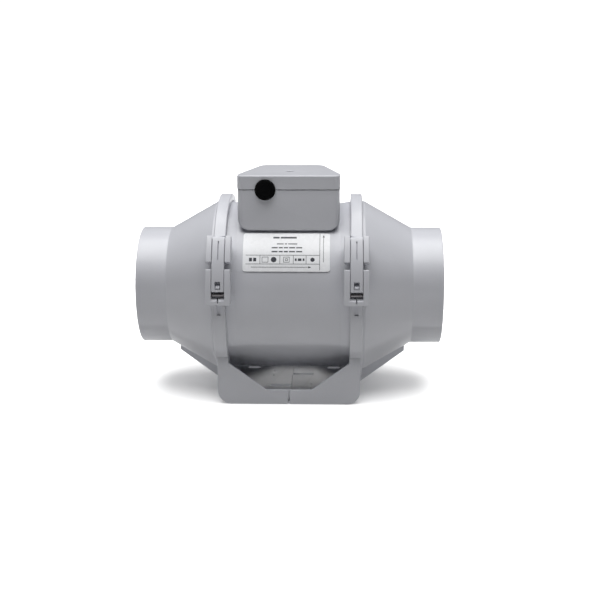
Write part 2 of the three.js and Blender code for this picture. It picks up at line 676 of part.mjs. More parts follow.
function guideVaneHousing() {
  const cupInR = HUB_R - HUB_WALL;
  const cup = spin([
    [HUB_START_X, cupInR], [HUB_START_X, HUB_R], [HUB_END_X, HUB_R],
    [HUB_END_X, 0], [HUB_END_X - HUB_WALL, 0], [HUB_END_X - HUB_WALL, cupInR],
  ], 28);
  const sleeve = spin([
    [VANE_X[0] - 2, SLEEVE_R - SLEEVE_WALL], [VANE_X[1] + 2, SLEEVE_R - SLEEVE_WALL],
    [VANE_X[1] + 2, SLEEVE_R], [VANE_X[0] - 2, SLEEVE_R],
  ]);
  const vanes = Array.from({ length: VANE_COUNT }, (_, i) => bentBlade({
    x: VANE_X,
    hubR: [HUB_R - 1, HUB_R - 1],
    tipR: [SLEEVE_R - 0.7, SLEEVE_R - 0.7],
    startDeg: 90 - VANE_TURN_DEG / 2 + (360 / VANE_COUNT) * i,
    turnDeg: VANE_TURN_DEG,
    thick: i === 0 ? LEAD_VANE_THICK : 1.6,
    cells: { along: 4, outwards: 1 },
  }));
  const leadHole = rod('z', [LEAD_X, 0], LEAD_R + 0.2, 20, 80);
  const screwHoles = MOTOR_SCREWS.map((at) => rod('x', at, 1.8, HUB_END_X - 5, HUB_END_X + 5, 8));
  return unite([cup, sleeve, ...vanes]).subtract(unite([leadHole, ...screwHoles]));
}

function tailFairing() {
  const start = HUB_END_X + GAP;
  return spin([
    [start, HUB_R], [50, HUB_R - 1.2], [58, 26], [63.5, 15], [65.8, 0],
    [63.8, 0], [61.8, 13.8], [56.6, 24], [49.4, 29.8], [start, HUB_R - HUB_WALL],
  ], 24);
}

// Motor


const STATOR_X = [5, 25];
const STATOR_R = [15.2, 30.6];
const WINDING_RING_R = 21.8;
const ROTOR_R = 14.6;
const SHAFT_FIT = 0.06;      // radial room round the shaft
const SHIELD_R = 30.7;       // end shields fit the inside of the motor cup
const BEARING_R = 8;
const BEARING_LENGTH = 6.4;
const POCKET_R = [BEARING_R + 0.2, BEARING_R + 2.2];

// A tube about the duct axis
function tube([innerR, outerR], [from, to], steps) {
  return spin([[from, innerR], [from, outerR], [to, outerR], [to, innerR]], steps);
}

function endShieldFront() {
  const [pocketEnd, plateFrom, plateTo] = [-12, -4.5, -1.5];
  return spin([
    [pocketEnd, SHAFT_R + 1.2], [pocketEnd, POCKET_R[1]], [plateFrom, POCKET_R[1]],
    [plateFrom, SHIELD_R], [plateTo, SHIELD_R], [plateTo, POCKET_R[0]],
    [pocketEnd + 1, POCKET_R[0]], [pocketEnd + 1, SHAFT_R + 1.2],
  ], 24);
}

function endShieldRear() {
  const [plateFrom, plateTo, pocketEnd] = [31, 34, 39];
  const plate = spin([
    [plateFrom, SHIELD_R], [plateTo, SHIELD_R], [plateTo, POCKET_R[1]],
    [pocketEnd, POCKET_R[1]], [pocketEnd, SHAFT_R + 1.2], [pocketEnd - 1, SHAFT_R + 1.2],
    [pocketEnd - 1, POCKET_R[0]], [plateFrom, POCKET_R[0]],
  ], 24);
  const bosses = MOTOR_SCREWS.map((at) => rod('x', at, 4, plateTo - 1, pocketEnd + 0.5, 8));
  const holes = MOTOR_SCREWS.map((at) => rod('x', at, 1.6, plateFrom - 1, pocketEnd + 2, 8));
  return unite([plate, ...bosses]).subtract(unite(holes));
}

function bearing(from) {
  return tube([SHAFT_R + SHAFT_FIT, BEARING_R], [from, from + BEARING_LENGTH], 16);
}

// The round slots through the stator that hold the windings
function windingBars(radius) {
  return Array.from({ length: 6 }, (_, i) => (
    rod('x', polar(WINDING_RING_R, 60 * i), radius, STATOR_X[0] - 1.2, STATOR_X[1] + 1.2, 8)
  ));
}

function statorCore() {
  return tube(STATOR_R, STATOR_X, 24).subtract(unite(windingBars(4.1)));
}

function statorWindings() {
  const ringR = [17.6, 26];
  const [front, rear] = [-0.6, 30.4];
  return unite([
    tube(ringR, [front, STATOR_X[0] - GAP], 24),
    tube(ringR, [STATOR_X[1] + GAP, rear], 24),
    ...windingBars(3.8),
  ]);
}

function rotorCore() {
  return tube([SHAFT_R + SHAFT_FIT, ROTOR_R], STATOR_X, 16);
}

function motorScrew(at) {
  const headFrom = HUB_END_X + GAP;
  const head = rod('x', at, 2.9, headFrom, headFrom + 2, 10);
  return head.add(rod('x', at, 1.4, 31.5, headFrom + 0.5, 8));
}

function motorShaft() {
  return rod('x', [0, 0], SHAFT_R, -46.5, 37.6, 16);
}

// Impeller

function impeller() {
  const boreR = SHAFT_R + SHAFT_FIT;
  const hub = spin([
    [-41.5, boreR], [-41.5, 14.5], [-40, 16.5], [-10, 31.5], [-10, 29.5],
    [-37.5, 14.5], [-37.5, 6], [-20, 6], [-20, boreR],
  ], 2 * BLADE_COUNT);
  const blades = Array.from({ length: BLADE_COUNT }, (_, i) => bentBlade({
    x: [-39, -11],
    hubR: [15.5, 29.5],
    tipR: [50, 61.5],
    startDeg: (360 / BLADE_COUNT) * i + 3,
    turnDeg: 42,
    thick: 2.2,
    cells: { along: 6, outwards: 3 },
  }));
  return unite([hub, ...blades]);
}

function impellerNut() {
  return spin([
    [-50, 0], [-49.4, 5], [-47.5, 9.5], [-44.5, 12.6], [-41.8, 14], [-41.8, SHAFT_R + SHAFT_FIT],
    [-47, SHAFT_R + SHAFT_FIT], [-47, 0],
  ], 16);
}

// Assembly

add('bracket_half_outlet', bracketHalf(1), 'shell');
add('bracket_half_inlet', bracketHalf(-1).mirror([1, 0, 0]), 'shell');
addBothEnds('duct_cone', ductCone(), 'shell');
addBothEnds('flange_seal', flangeSeal(), 'greySeal');
add('centre_casing', centreCasing(), 'shell');
add('rating_label', ratingLabel(), 'label');
addBothEnds('clamp_hoop', clampHoop(), 'shell');
addBothEnds('latch_lever', latchLever(), 'shell');
addBothEnds('latch_pin', latchPin(), 'steel');
addBothEnds('hinge_pin', hingePin(), 'steel');
addBothEnds('catch_pin', catchPin(), 'darkSteel');

add('terminal_box', terminalBox(), 'shell');
add('terminal_cover', terminalCover(), 'shell');
add('cover_gasket', coverGasket(), 'greySeal');
add('cover_screw', screw(COVER_SCREW, COVER_SCREW_R, 3.1, BOX_TOP_Z - 3.8, 2, 75), 'steel');
add('cable_grommet', cableGrommet(), 'blackRubber');
add('terminal_block', terminalBlock(), 'terminalPlastic');
TERMINAL_SCREWS.forEach((at, i) => {
  const headFrom = TERMINAL_BLOCK.z[1] - 2.5;
  add(`terminal_screw_${i + 1}`, screw(at, 1.5, 2.2, headFrom, 1.6, headFrom - 2.9), 'steel');
});
add('run_capacitor', block(CAPACITOR.x, CAPACITOR.y, CAPACITOR.z), 'capacitorPlastic');
add('cord_clamp', cordClamp(), 'innerPlastic');
CLAMP_SCREW_POSTS.forEach((at, i) => {
  const headFrom = CLAMP_POST_TOP_Z + CORD_CLAMP_THICK + 2 * GAP;
  add(`cord_clamp_screw_${i + 1}`, screw(at, 1.3, 2.7, headFrom, 1.8, 78), 'steel');
});
BOX_SCREWS.forEach((at, i) => {
  add(`box_screw_${i + 1}`, screw(at, BOX_SCREW_R, 3, PAD_TOP_Z + GAP, 2, 66), 'steel');
});
add('lead_sleeve', leadSleeve(), 'blackRubber');
add('lead_bush', leadBush(), 'blackRubber');

add('guide_vane_housing', guideVaneHousing(), 'innerPlastic');
add('tail_fairing', tailFairing(), 'innerPlastic');
add('end_shield_front', endShieldFront(), 'steel');
add('end_shield_rear', endShieldRear(), 'steel');
add('bearing_front', bearing(-10.7), 'darkSteel');
add('bearing_rear', bearing(31.3), 'darkSteel');
add('stator_core', statorCore(), 'lamination');
add('stator_windings', statorWindings(), 'copper');
MOTOR_SCREWS.forEach((at, i) => add(`motor_screw_${i + 1}`, motorScrew(at), 'steel'));
add('rotor_core', rotorCore(), 'lamination');
add('motor_shaft', motorShaft(), 'steel');
add('impeller', impeller(), 'impellerPlastic');
add('impeller_nut', impellerNut(), 'impellerPlastic');

export default group;
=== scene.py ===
"""Looks of an inline duct fan: clamped duct cones, centre casing, latched hoops, bracket and terminal box.

Shapes are made in millimetres about the duct axis, with X along the duct, and lifted onto the frame.
"""

import json
import math

import bmesh
import bpy
from mathutils import Matrix, Vector

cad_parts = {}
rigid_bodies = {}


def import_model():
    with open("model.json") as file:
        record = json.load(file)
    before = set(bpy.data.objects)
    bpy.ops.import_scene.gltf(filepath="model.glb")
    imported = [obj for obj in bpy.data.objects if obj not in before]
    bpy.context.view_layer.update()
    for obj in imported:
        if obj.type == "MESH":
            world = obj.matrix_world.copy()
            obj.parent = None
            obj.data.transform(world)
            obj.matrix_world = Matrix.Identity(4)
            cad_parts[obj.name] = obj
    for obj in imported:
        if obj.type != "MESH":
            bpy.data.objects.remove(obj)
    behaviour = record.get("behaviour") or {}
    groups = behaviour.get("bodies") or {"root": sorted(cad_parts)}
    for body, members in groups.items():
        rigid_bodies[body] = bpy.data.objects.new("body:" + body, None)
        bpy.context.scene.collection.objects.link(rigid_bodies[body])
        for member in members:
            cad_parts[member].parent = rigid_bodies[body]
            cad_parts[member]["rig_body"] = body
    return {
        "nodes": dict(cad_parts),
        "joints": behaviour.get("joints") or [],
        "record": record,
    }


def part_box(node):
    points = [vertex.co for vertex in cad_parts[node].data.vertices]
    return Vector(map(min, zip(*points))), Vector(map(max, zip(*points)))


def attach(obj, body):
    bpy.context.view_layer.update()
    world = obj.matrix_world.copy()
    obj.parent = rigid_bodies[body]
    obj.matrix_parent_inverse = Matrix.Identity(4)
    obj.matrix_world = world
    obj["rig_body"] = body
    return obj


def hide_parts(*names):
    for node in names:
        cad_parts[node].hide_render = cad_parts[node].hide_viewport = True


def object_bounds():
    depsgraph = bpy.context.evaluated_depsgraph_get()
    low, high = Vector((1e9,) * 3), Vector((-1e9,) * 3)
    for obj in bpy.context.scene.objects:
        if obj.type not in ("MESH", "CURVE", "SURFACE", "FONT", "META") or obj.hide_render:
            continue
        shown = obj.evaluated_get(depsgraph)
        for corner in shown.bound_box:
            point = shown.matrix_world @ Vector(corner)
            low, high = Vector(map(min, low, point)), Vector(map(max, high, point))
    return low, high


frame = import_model()
cad_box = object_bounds()

MM = 0.001
ROOT = "bracket_and_motor_block"
ENDS = {"outlet": 1, "inlet": -1}


def node_box(node):
    """Lowest and highest corners of a CAD node in millimetres."""
    low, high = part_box(node)
    return low / MM, high / MM


def joint_place(name):
    """Where a joint's axis passes, in millimetres."""
    joint = next(j for j in frame["joints"] if j["name"] == name)
    return Vector(joint["pos_m"]) / MM


AXIS_Z = joint_place("impeller_spin").z
CLAMP_X = joint_place("hoop_outlet_open").x
HINGE = (joint_place("hoop_outlet_open").y, joint_place("hoop_outlet_open").z - AXIS_Z)
LEVER_PIVOT = (joint_place("lever_outlet_lift").y, joint_place("lever_outlet_lift").z - AXIS_Z)
SPIGOT_END_X = cad_box[1].x / MM
FLOOR_Z = -AXIS_Z

SPIGOT_R = 48
SPIGOT_WALL = 2
CONE_NARROW_X = 99
CONE_WIDE_X = 60.5
RIM_R = 69.8
BARREL_R = 68.2
CASING_WALL = 2.5
FLANGE_LIP_R = 72.4

CLAMP_IN_R = 70.2
CLAMP_GROOVE_R = 73
CLAMP_OUT_R = 75.7
HOOP_HALF_W = 4.7
CRADLE_HALF_W = 5.2
GROOVE_HALF_W = 3
LATCH_HALF_W = 9.75
LATCH_ROOT_R = 74.4
LATCH_FLOOR_R = 76.8
LATCH_OUT_R = 81.6
LEVER_HALF_W = 4.9
LEVER_MID_R = 79.3
LEVER_HALF_T = 2.3
LATCH_GAP = 0.3
LEVER_PIN_HOLE_R = 1.3
HINGE_HOLE_R = 2.1
CATCH_DEG = (0.6, 20.3)
LEVER_DEG = (7.9, 38.2)
HOOP_DEG = (24.2, 168)
HOOP_EARS_TO_DEG = 40
CRADLE_DEG = (183, 380.3)
# Cutters run past what they cut: outwards to this radius, and along the duct between these places
CUT_TO_R = 90
CUT_X = (30, 80)

BASE_HALF_X = 57.2
BASE_HALF_Y = 59.3
BASE_WALL = 2.5
RAIL_HEIGHT = 12
FOOT_CORNER_R = 11
SHOULDER_HEIGHT = 39

BOX_SEAM_Z = 85.6
SEAM_GAP = 0.4
BOX_TOP_Z = 97
BOX_FRONT_Y = -46
BOX_WALL = 2.3
SADDLE_R = 69.1
LEAD_X = 18
BOX_SCREWS_XY = [(-28, -12), (28, -12)]
SCREW_HOLE_R = 1.8


# Outlines

def signed_area(outline):
    return sum(a[0] * b[1] - b[0] * a[1] for a, b in zip(outline, outline[1:] + outline[:1])) / 2


def fillet(corners, radius, steps=4):
    """Rounds the corners of a closed outline with one radius, or with one for each corner."""
    radii = radius if isinstance(radius, (list, tuple)) else [radius] * len(corners)
    rounded = []
    for i, corner in enumerate(corners):
        here = Vector(corner)
        back = Vector(corners[i - 1]) - here
        on = Vector(corners[(i + 1) % len(corners)]) - here
        half = back.angle(on) / 2
        reach = min(radii[i] / math.tan(half), 0.49 * back.length, 0.49 * on.length)
        if reach < 1e-4:
            rounded.append(here)
            continue
        centre = here + (back.normalized() + on.normalized()).normalized() * reach / math.cos(half)
        start = here + back.normalized() * reach - centre
        end = here + on.normalized() * reach - centre
        turns = [start.slerp(end, k / steps).normalized() for k in range(steps + 1)]
        rounded += [centre + turn * start.length for turn in turns]
    return rounded


def inset(outline, distance):
    """Moves every side of a closed outline inwards."""
    if distance == 0:
        return [Vector(p) for p in outline]
    turn = math.copysign(1, signed_area(outline))
    moved = []
    for i, here in enumerate(outline):
        into = (here - outline[i - 1]).normalized()
        out_of = (outline[(i + 1) % len(outline)] - here).normalized()
        first, second = [Vector((-side.y, side.x)) * turn for side in (into, out_of)]
        moved.append(here + (first + second) * distance / (1 + first.dot(second)))
    return moved


def hull_of_circles(circles, steps=48):
    """Convex outline round circles given as (x, y, radius)."""
    points = []
    for x, y, radius in circles:
        for k in range(steps):
            angle = math.tau * k / steps
            points.append(Vector((x + radius * math.cos(angle), y + radius * math.sin(angle))))
    points.sort(key=lambda p: (round(p.x, 6), p.y))
    sides = []
    for ordered in (points, points[::-1]):
        side = []
        for p in ordered:
            while len(side) > 1 and (side[-1] - side[-2]).cross(p - side[-1]) <= 1e-6:
                side.pop()
            side.append(p)
        sides += side[:-1]
    return sides


def polar(radius, degrees):
    """Y and Z at an angle round the duct axis: 0 is the front, 90 the top, -90 the bottom."""
    angle = math.radians(degrees)
    return (-radius * math.cos(angle), radius * math.sin(angle))


def quarter(centre_x, centre_z, radius, steps=12):
    """Quarter of a circle from straight down to straight right."""
    angles = [math.pi / 2 * k / steps for k in range(steps + 1)]
    return [(centre_x + radius * math.sin(a), centre_z - radius * math.cos(a)) for a in angles]


# Solids

def solid(rings, wrap=False):
    """A closed mesh through rings of points, joined end to start or capped at both ends."""
    mesh = bmesh.new()
    loops = [[mesh.verts.new((Vector(p) + Vector((0, 0, AXIS_Z))) * MM) for p in ring] for ring in rings]
    following = loops[1:] + loops[:1] if wrap else loops[1:]
    for low, high in zip(loops, following):
        for i in range(len(low)):
            j = (i + 1) % len(low)
            mesh.faces.new((low[i], low[j], high[j], high[i]))
    if not wrap:
        caps = [mesh.faces.new(loops[0]), mesh.faces.new(loops[-1])]
        bmesh.ops.triangulate(mesh, faces=caps)
    bmesh.ops.remove_doubles(mesh, verts=mesh.verts, dist=2e-7)
    bmesh.ops.recalc_face_normals(mesh, faces=mesh.faces)
    data = bpy.data.meshes.new("solid")
    mesh.to_mesh(data)
    mesh.free()
    made = bpy.data.objects.new("solid", data)
    bpy.context.scene.collection.objects.link(made)
    return made


def place(axis, point, along):
    """An outline's point in space: it holds y, z along x, or x, z along y, or x, y along z."""
    u, v = point
    return {"x": (along, u, v), "y": (u, along, v), "z": (u, v, along)}[axis]


def end_rounding(edge, steps=3):
    """Pairs of distance from an end and inset there, which round the end's edge."""
    if edge == 0:
        return [(0, 0)]
    angles = [math.pi / 2 * k / steps for k in range(steps + 1)]
    return [(edge * (1 - math.cos(a)), edge * (1 - math.sin(a))) for a in angles]


def prism(axis, outline, start, end, edges=(0.4, 0.4)):
    """Extrudes an outline along an axis and rounds the edges of its two ends."""
    outline = [Vector(p) for p in outline]
    stations = [(start + d, i) for d, i in end_rounding(edges[0])]
    stations += [(end - d, i) for d, i in reversed(end_rounding(edges[1]))]
    return solid([[place(axis, p, w) for p in inset(outline, i)] for w, i in stations])


def box(xs, ys, zs, corner=0.5, edges=(0.4, 0.4)):
    """A block with rounded upright corners and rounded top and bottom edges."""
    outline = [(xs[0], ys[0]), (xs[1], ys[0]), (xs[1], ys[1]), (xs[0], ys[1])]
    return prism("z", fillet(outline, corner), zs[0], zs[1], edges)


def sweep(profile, from_deg, to_deg, edge=0.4, step=2):
    """Carries a closed (x, radius) profile round the duct axis, with rounded ends."""
    profile = [Vector(p) for p in profile]
    middle_r = sum(p.y for p in profile) / len(profile)
    ends = [(math.degrees(d / middle_r), i) for d, i in end_rounding(edge)]
    count = max(1, round((to_deg - from_deg) / step))
    first, last = ends[-1][0], ends[-1][0]
    between = [from_deg + first + (to_deg - from_deg - first - last) * k / count for k in range(1, count)]
    stations = [(from_deg + d, i) for d, i in ends] + [(a, 0) for a in between]
    stations += [(to_deg - d, i) for d, i in reversed(ends)]
    return solid([[(p.x, *polar(p.y, a)) for p in inset(profile, i)] for a, i in stations])


def spin(profile, axis="x", centre=(0, 0), steps=160):
    """Turns a closed profile of (along, radius) points into a ring about an axis."""
    rings = []
    for k in range(steps):
        angle = math.tau * k / steps
        u, v = math.cos(angle), math.sin(angle)
        rings.append([place(axis, (centre[0] + r * u, centre[1] + r * v), w) for w, r in profile])
    return solid(rings, wrap=True)


def rod(axis, centre, radius, start, end, edge=0.0, steps=48):
    """A round bar with softened ends."""
    profile = [(start, 0), (start, radius), (end, radius), (end, 0)]
    return spin(fillet(profile, [0, edge, edge, 0], 3), axis, centre, steps)


def combine(operation, base, parts):
    """Adds parts to base or cuts them from it, and leaves one mesh."""
    for part in parts:
        modifier = base.modifiers.new("combine", "BOOLEAN")
        modifier.operation = operation
        modifier.solver = "MANIFOLD"
        modifier.object = part
    evaluated = base.evaluated_get(bpy.context.evaluated_depsgraph_get())
    result = bpy.data.meshes.new_from_object(evaluated)
    base.modifiers.clear()
    base.data = result
    for part in parts:
        bpy.data.objects.remove(part)
    return base


def join(base, *parts):
    return combine("UNION", base, parts)


def cut(base, *parts):
    return combine("DIFFERENCE", base, parts)


def mirrored(piece):
    """Flips a piece made for the outlet over to the inlet side."""
    data = piece.data
    for vertex in data.vertices:
        vertex.co.x = -vertex.co.x
    data.flip_normals()
    return piece


# Materials

def named_material(name):
    made = bpy.data.materials.new(name)
    made.use_nodes = True
    tree = made.node_tree
    shader = tree.nodes["Principled BSDF"]
    return made, tree, shader


def object_noise(tree, scale, detail=2.0, stretch=(1, 1, 1)):
    """Noise over the object's own coordinates; scale is in cells per metre."""
    place_node = tree.nodes.new("ShaderNodeTexCoord")
    mapping = tree.nodes.new("ShaderNodeMapping")
    mapping.inputs["Scale"].default_value = stretch
    texture = tree.nodes.new("ShaderNodeTexNoise")
    texture.inputs["Scale"].default_value = scale
    texture.inputs["Detail"].default_value = detail
    tree.links.new(place_node.outputs["Object"], mapping.inputs["Vector"])
    tree.links.new(mapping.outputs["Vector"], texture.inputs["Vector"])
    return texture.outputs["Fac"]


def remap(tree, value, low, high, from_low=0.3, from_high=0.7):
    node = tree.nodes.new("ShaderNodeMapRange")
    node.inputs["From Min"].default_value = from_low
    node.inputs["From Max"].default_value = from_high
    node.inputs["To Min"].default_value = low
    node.inputs["To Max"].default_value = high
    tree.links.new(value, node.inputs["Value"])
    return node.outputs["Result"]


def blend_colours(tree, share, first, second):
    """Mixes two colours; each is three numbers or another node's output."""
    node = tree.nodes.new("ShaderNodeMix")
    node.data_type = "RGBA"
    tree.links.new(share, node.inputs["Factor"])
    for socket, colour in ((node.inputs[6], first), (node.inputs[7], second)):
        if isinstance(colour, bpy.types.NodeSocket):
            tree.links.new(colour, socket)
        else:
            socket.default_value = (*colour, 1)
    return node.outputs[2]


def add_bump(tree, shader, height, depth_mm):
    node = tree.nodes.new("ShaderNodeBump")
    node.inputs["Strength"].default_value = 1.0
    node.inputs["Distance"].default_value = depth_mm * MM
    tree.links.new(height, node.inputs["Height"])
    tree.links.new(node.outputs["Normal"], shader.inputs["Normal"])


def convex_edge_share(tree, low=0.52, high=0.60):
    """Share that rises from 0 to 1 where the surface bends outwards."""
    geometry = tree.nodes.new("ShaderNodeNewGeometry")
    return remap(tree, geometry.outputs["Pointiness"], 0, 1, low, high)


def moulded_plastic(name, colour, roughness, grain_depth=0.012):
    """Moulded plastic: faint flow clouds and speckle, paler convex edges and a fine tool texture."""
    made, tree, shader = named_material(name)
    deep = [c * 0.955 for c in colour]
    clouds = remap(tree, object_noise(tree, 26, 3), 0, 1)
    body = blend_colours(tree, clouds, deep, colour)
    speckle = remap(tree, object_noise(tree, 900, 2), 0, 0.22, 0.35, 0.75)
    body = blend_colours(tree, speckle, body, [c * 0.90 for c in colour])
    # Every edge that bends outwards is made paler.
    body = blend_colours(tree, convex_edge_share(tree), body, [min(1, c * 1.06) for c in colour])
    tree.links.new(body, shader.inputs["Base Color"])
    patches = remap(tree, object_noise(tree, 120, 4), roughness[0], roughness[1])
    tree.links.new(patches, shader.inputs["Roughness"])
    add_bump(tree, shader, object_noise(tree, 2600, 2), grain_depth)
    return made


def brushed_metal(name, colour, roughness, stretch=(1, 8, 8)):
    """Plated or turned metal: fine lines one way, duller patches and brighter edges."""
    made, tree, shader = named_material(name)
    shader.inputs["Metallic"].default_value = 1.0
    lines = object_noise(tree, 700, 3, stretch)
    tone = blend_colours(tree, remap(tree, lines, 0, 1), [c * 0.82 for c in colour], colour)
    # Every edge that bends outwards is made brighter.
    tone = blend_colours(tree, convex_edge_share(tree), tone, [min(1, c * 1.12) for c in colour])
    tree.links.new(tone, shader.inputs["Base Color"])
    tree.links.new(remap(tree, object_noise(tree, 160, 4), *roughness), shader.inputs["Roughness"])
    add_bump(tree, shader, lines, 0.01)
    return made


def rubber(name, colour, roughness, cell, depth):
    """Rubber: dull, with dusty patches and a soft pitted surface."""
    made, tree, shader = named_material(name)
    dust = remap(tree, object_noise(tree, 210, 5), 0, 0.5, 0.45, 0.8)
    tone = blend_colours(tree, dust, colour, [min(1, c * 2.2) for c in colour])
    tree.links.new(tone, shader.inputs["Base Color"])
    tree.links.new(remap(tree, object_noise(tree, 500, 3), *roughness), shader.inputs["Roughness"])
    shader.inputs["Specular IOR Level"].default_value = 0.05
    add_bump(tree, shader, object_noise(tree, cell, 3), depth)
    return made


def banded_metal(name, dark, light, bands_per_metre):
    """Stacked sheet steel or wound wire: fine bands across the duct axis."""
    made, tree, shader = named_material(name)
    shader.inputs["Metallic"].default_value = 1.0
    place_node = tree.nodes.new("ShaderNodeTexCoord")
    bands = tree.nodes.new("ShaderNodeTexWave")
    bands.inputs["Scale"].default_value = bands_per_metre
    bands.inputs["Distortion"].default_value = 0.4
    tree.links.new(place_node.outputs["Object"], bands.inputs["Vector"])
    tree.links.new(blend_colours(tree, bands.outputs["Fac"], dark, light), shader.inputs["Base Color"])
    tree.links.new(remap(tree, object_noise(tree, 300, 3), 0.35, 0.6), shader.inputs["Roughness"])
    add_bump(tree, shader, bands.outputs["Fac"], 0.05)
    return made


def printed_film(name, colour, roughness):
    """Smooth film, slightly uneven where it is stuck down."""
    made, tree, shader = named_material(name)
    clouds = remap(tree, object_noise(tree, 60, 3), 0, 1)
    tone = blend_colours(tree, clouds, [c * 0.98 for c in colour], colour)
    tree.links.new(tone, shader.inputs["Base Color"])
    tree.links.new(remap(tree, object_noise(tree, 250, 3), *roughness), shader.inputs["Roughness"])
    add_bump(tree, shader, object_noise(tree, 140, 2), 0.006)
    return made


MATERIALS = {
    "shell": moulded_plastic("shell_plastic", (0.592, 0.600, 0.640), (0.30, 0.40)),
    "innerPlastic": moulded_plastic(
        "inner_plastic", (0.590, 0.605, 0.630), (0.42, 0.55), grain_depth=0.02),
    "impellerPlastic": moulded_plastic(
        "impeller_plastic", (0.485, 0.505, 0.535), (0.40, 0.55), grain_depth=0.03),
    "blackRubber": rubber("black_rubber", (0.0012, 0.0012, 0.0014), (0.72, 0.88), 1800, 0.015),
    "greySeal": rubber("foam_seal", (0.043, 0.045, 0.047), (0.8, 0.95), 2600, 0.12),
    "steel": brushed_metal("zinc_plated_steel", (0.52, 0.53, 0.55), (0.26, 0.42)),
    "darkSteel": brushed_metal("oiled_steel", (0.12, 0.115, 0.12), (0.35, 0.55)),
    "lamination": banded_metal("stacked_steel", (0.10, 0.105, 0.115), (0.20, 0.21, 0.22), 320),
    "copper": banded_metal("wound_copper", (0.32, 0.11, 0.03), (0.62, 0.27, 0.09), 260),
    "terminalPlastic": moulded_plastic("terminal_plastic", (0.80, 0.785, 0.72), (0.45, 0.6)),
    "capacitorPlastic": moulded_plastic("capacitor_plastic", (0.67, 0.64, 0.54), (0.4, 0.55)),
    "label": printed_film("label_film", (0.895, 0.905, 0.925), (0.22, 0.32)),
}
INK = printed_film("label_ink", (0.024, 0.027, 0.038), (0.4, 0.55))
SLOT_OF = {p["node"]: p["material_slot"] for p in frame["record"]["subparts"]}


# Pieces

CREASE = math.radians(38)


def shade(piece, material):
    """Smooth shading with crisp creases, and flat faces that stay flat."""
    piece.data.materials.clear()
    piece.data.materials.append(material)
    piece.data.shade_smooth()
    piece.data.set_sharp_from_angle(angle=CREASE)
    weighted = piece.modifiers.new("even_normals", "WEIGHTED_NORMAL")
    weighted.keep_sharp = True


def finished(piece, name, body, slot, material=None):
    """Names a piece, gives it its material and puts it on its body."""
    piece.name = piece.data.name = name
    shade(piece, material or MATERIALS[slot])
    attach(piece, body)
    return piece


def stands_for(node, piece):
    """Finishes a piece that is shown in place of a CAD node."""
    body = frame["nodes"][node]["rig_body"]
    finished(piece, f"{node}_piece", body, SLOT_OF[node])
    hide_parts(node)


def both_ends(node, make):
    """Makes an outlet piece, and its mirror image for the inlet."""
    for end, side in ENDS.items():
        piece = make()
        stands_for(f"{node}_{end}", mirrored(piece) if side < 0 else piece)


# Duct cones and centre casing

def duct_cone():
    bore_r = SPIGOT_R - SPIGOT_WALL
    face_x, lip_back_x = 54, 56
    corners = [
        (face_x, 66, 0.3), (face_x, 67.6, 0.1), (face_x + 1.6, 67.6, 0.1), (face_x + 1.6, 70.2, 0.1),
        (face_x, 70.2, 0.1), (face_x, FLANGE_LIP_R, 0.3), (lip_back_x, FLANGE_LIP_R, 0.4),
        (lip_back_x, RIM_R, 0.6), (CONE_WIDE_X, RIM_R, 2.5), (CONE_NARROW_X, SPIGOT_R, 2.5),
        (SPIGOT_END_X, SPIGOT_R, 0.7), (SPIGOT_END_X, bore_r, 0.5), (CONE_NARROW_X - 1.5, bore_r, 3),
        (CONE_WIDE_X, 66, 4),
    ]
    return spin(fillet([c[:2] for c in corners], [c[2] for c in corners]), steps=200)


def centre_casing():
    inner_r = BARREL_R - CASING_WALL
    half = [
        (41, BARREL_R, 8), (49, 69.5, 1.5), (51.2, 69.5, 0.5),
        (51.2, FLANGE_LIP_R, 0.4), (53.2, FLANGE_LIP_R, 0.3), (53.2, inner_r, 0.3),
    ]
    corners = [(-x, r, rounding) for x, r, rounding in reversed(half)] + half
    shell = spin(fillet([c[:2] for c in corners], [c[2] for c in corners]), steps=200)
    holes = [rod("z", at, SCREW_HOLE_R, 60, 72) for at in BOX_SCREWS_XY]
    return cut(shell, rod("z", (LEAD_X, 0), 4.5, 60, 72), *holes)


# Clamp hoops and latches

def channel_profile(half_width):
    """Section of a clamp strap, open towards the duct axis, with rounded outer corners."""
    corners = [
        (-half_width, CLAMP_IN_R, 0.25), (-half_width, CLAMP_OUT_R, 0.9),
        (half_width, CLAMP_OUT_R, 0.9), (half_width, CLAMP_IN_R, 0.25),
        (GROOVE_HALF_W, CLAMP_IN_R, 0.2), (GROOVE_HALF_W, CLAMP_GROOVE_R, 0.4),
        (-GROOVE_HALF_W, CLAMP_GROOVE_R, 0.4), (-GROOVE_HALF_W, CLAMP_IN_R, 0.2),
    ]
    return fillet([(CLAMP_X + x, r) for x, r, _ in corners], [c[2] for c in corners])


def trough_profile():
    """Section of a latch block with the channel that the lever lies in."""
    channel = LEVER_HALF_W + LATCH_GAP
    corners = [
        (-LATCH_HALF_W, LATCH_ROOT_R, 0.5), (-LATCH_HALF_W, LATCH_OUT_R, 0.8),
        (-channel, LATCH_OUT_R, 0.35), (-channel, LATCH_FLOOR_R, 0.3),
        (channel, LATCH_FLOOR_R, 0.3), (channel, LATCH_OUT_R, 0.35),
        (LATCH_HALF_W, LATCH_OUT_R, 0.8), (LATCH_HALF_W, LATCH_ROOT_R, 0.5),
    ]
    return fillet([(CLAMP_X + x, r) for x, r, _ in corners], [c[2] for c in corners])


def across(half_width):
    return CLAMP_X - half_width, CLAMP_X + half_width


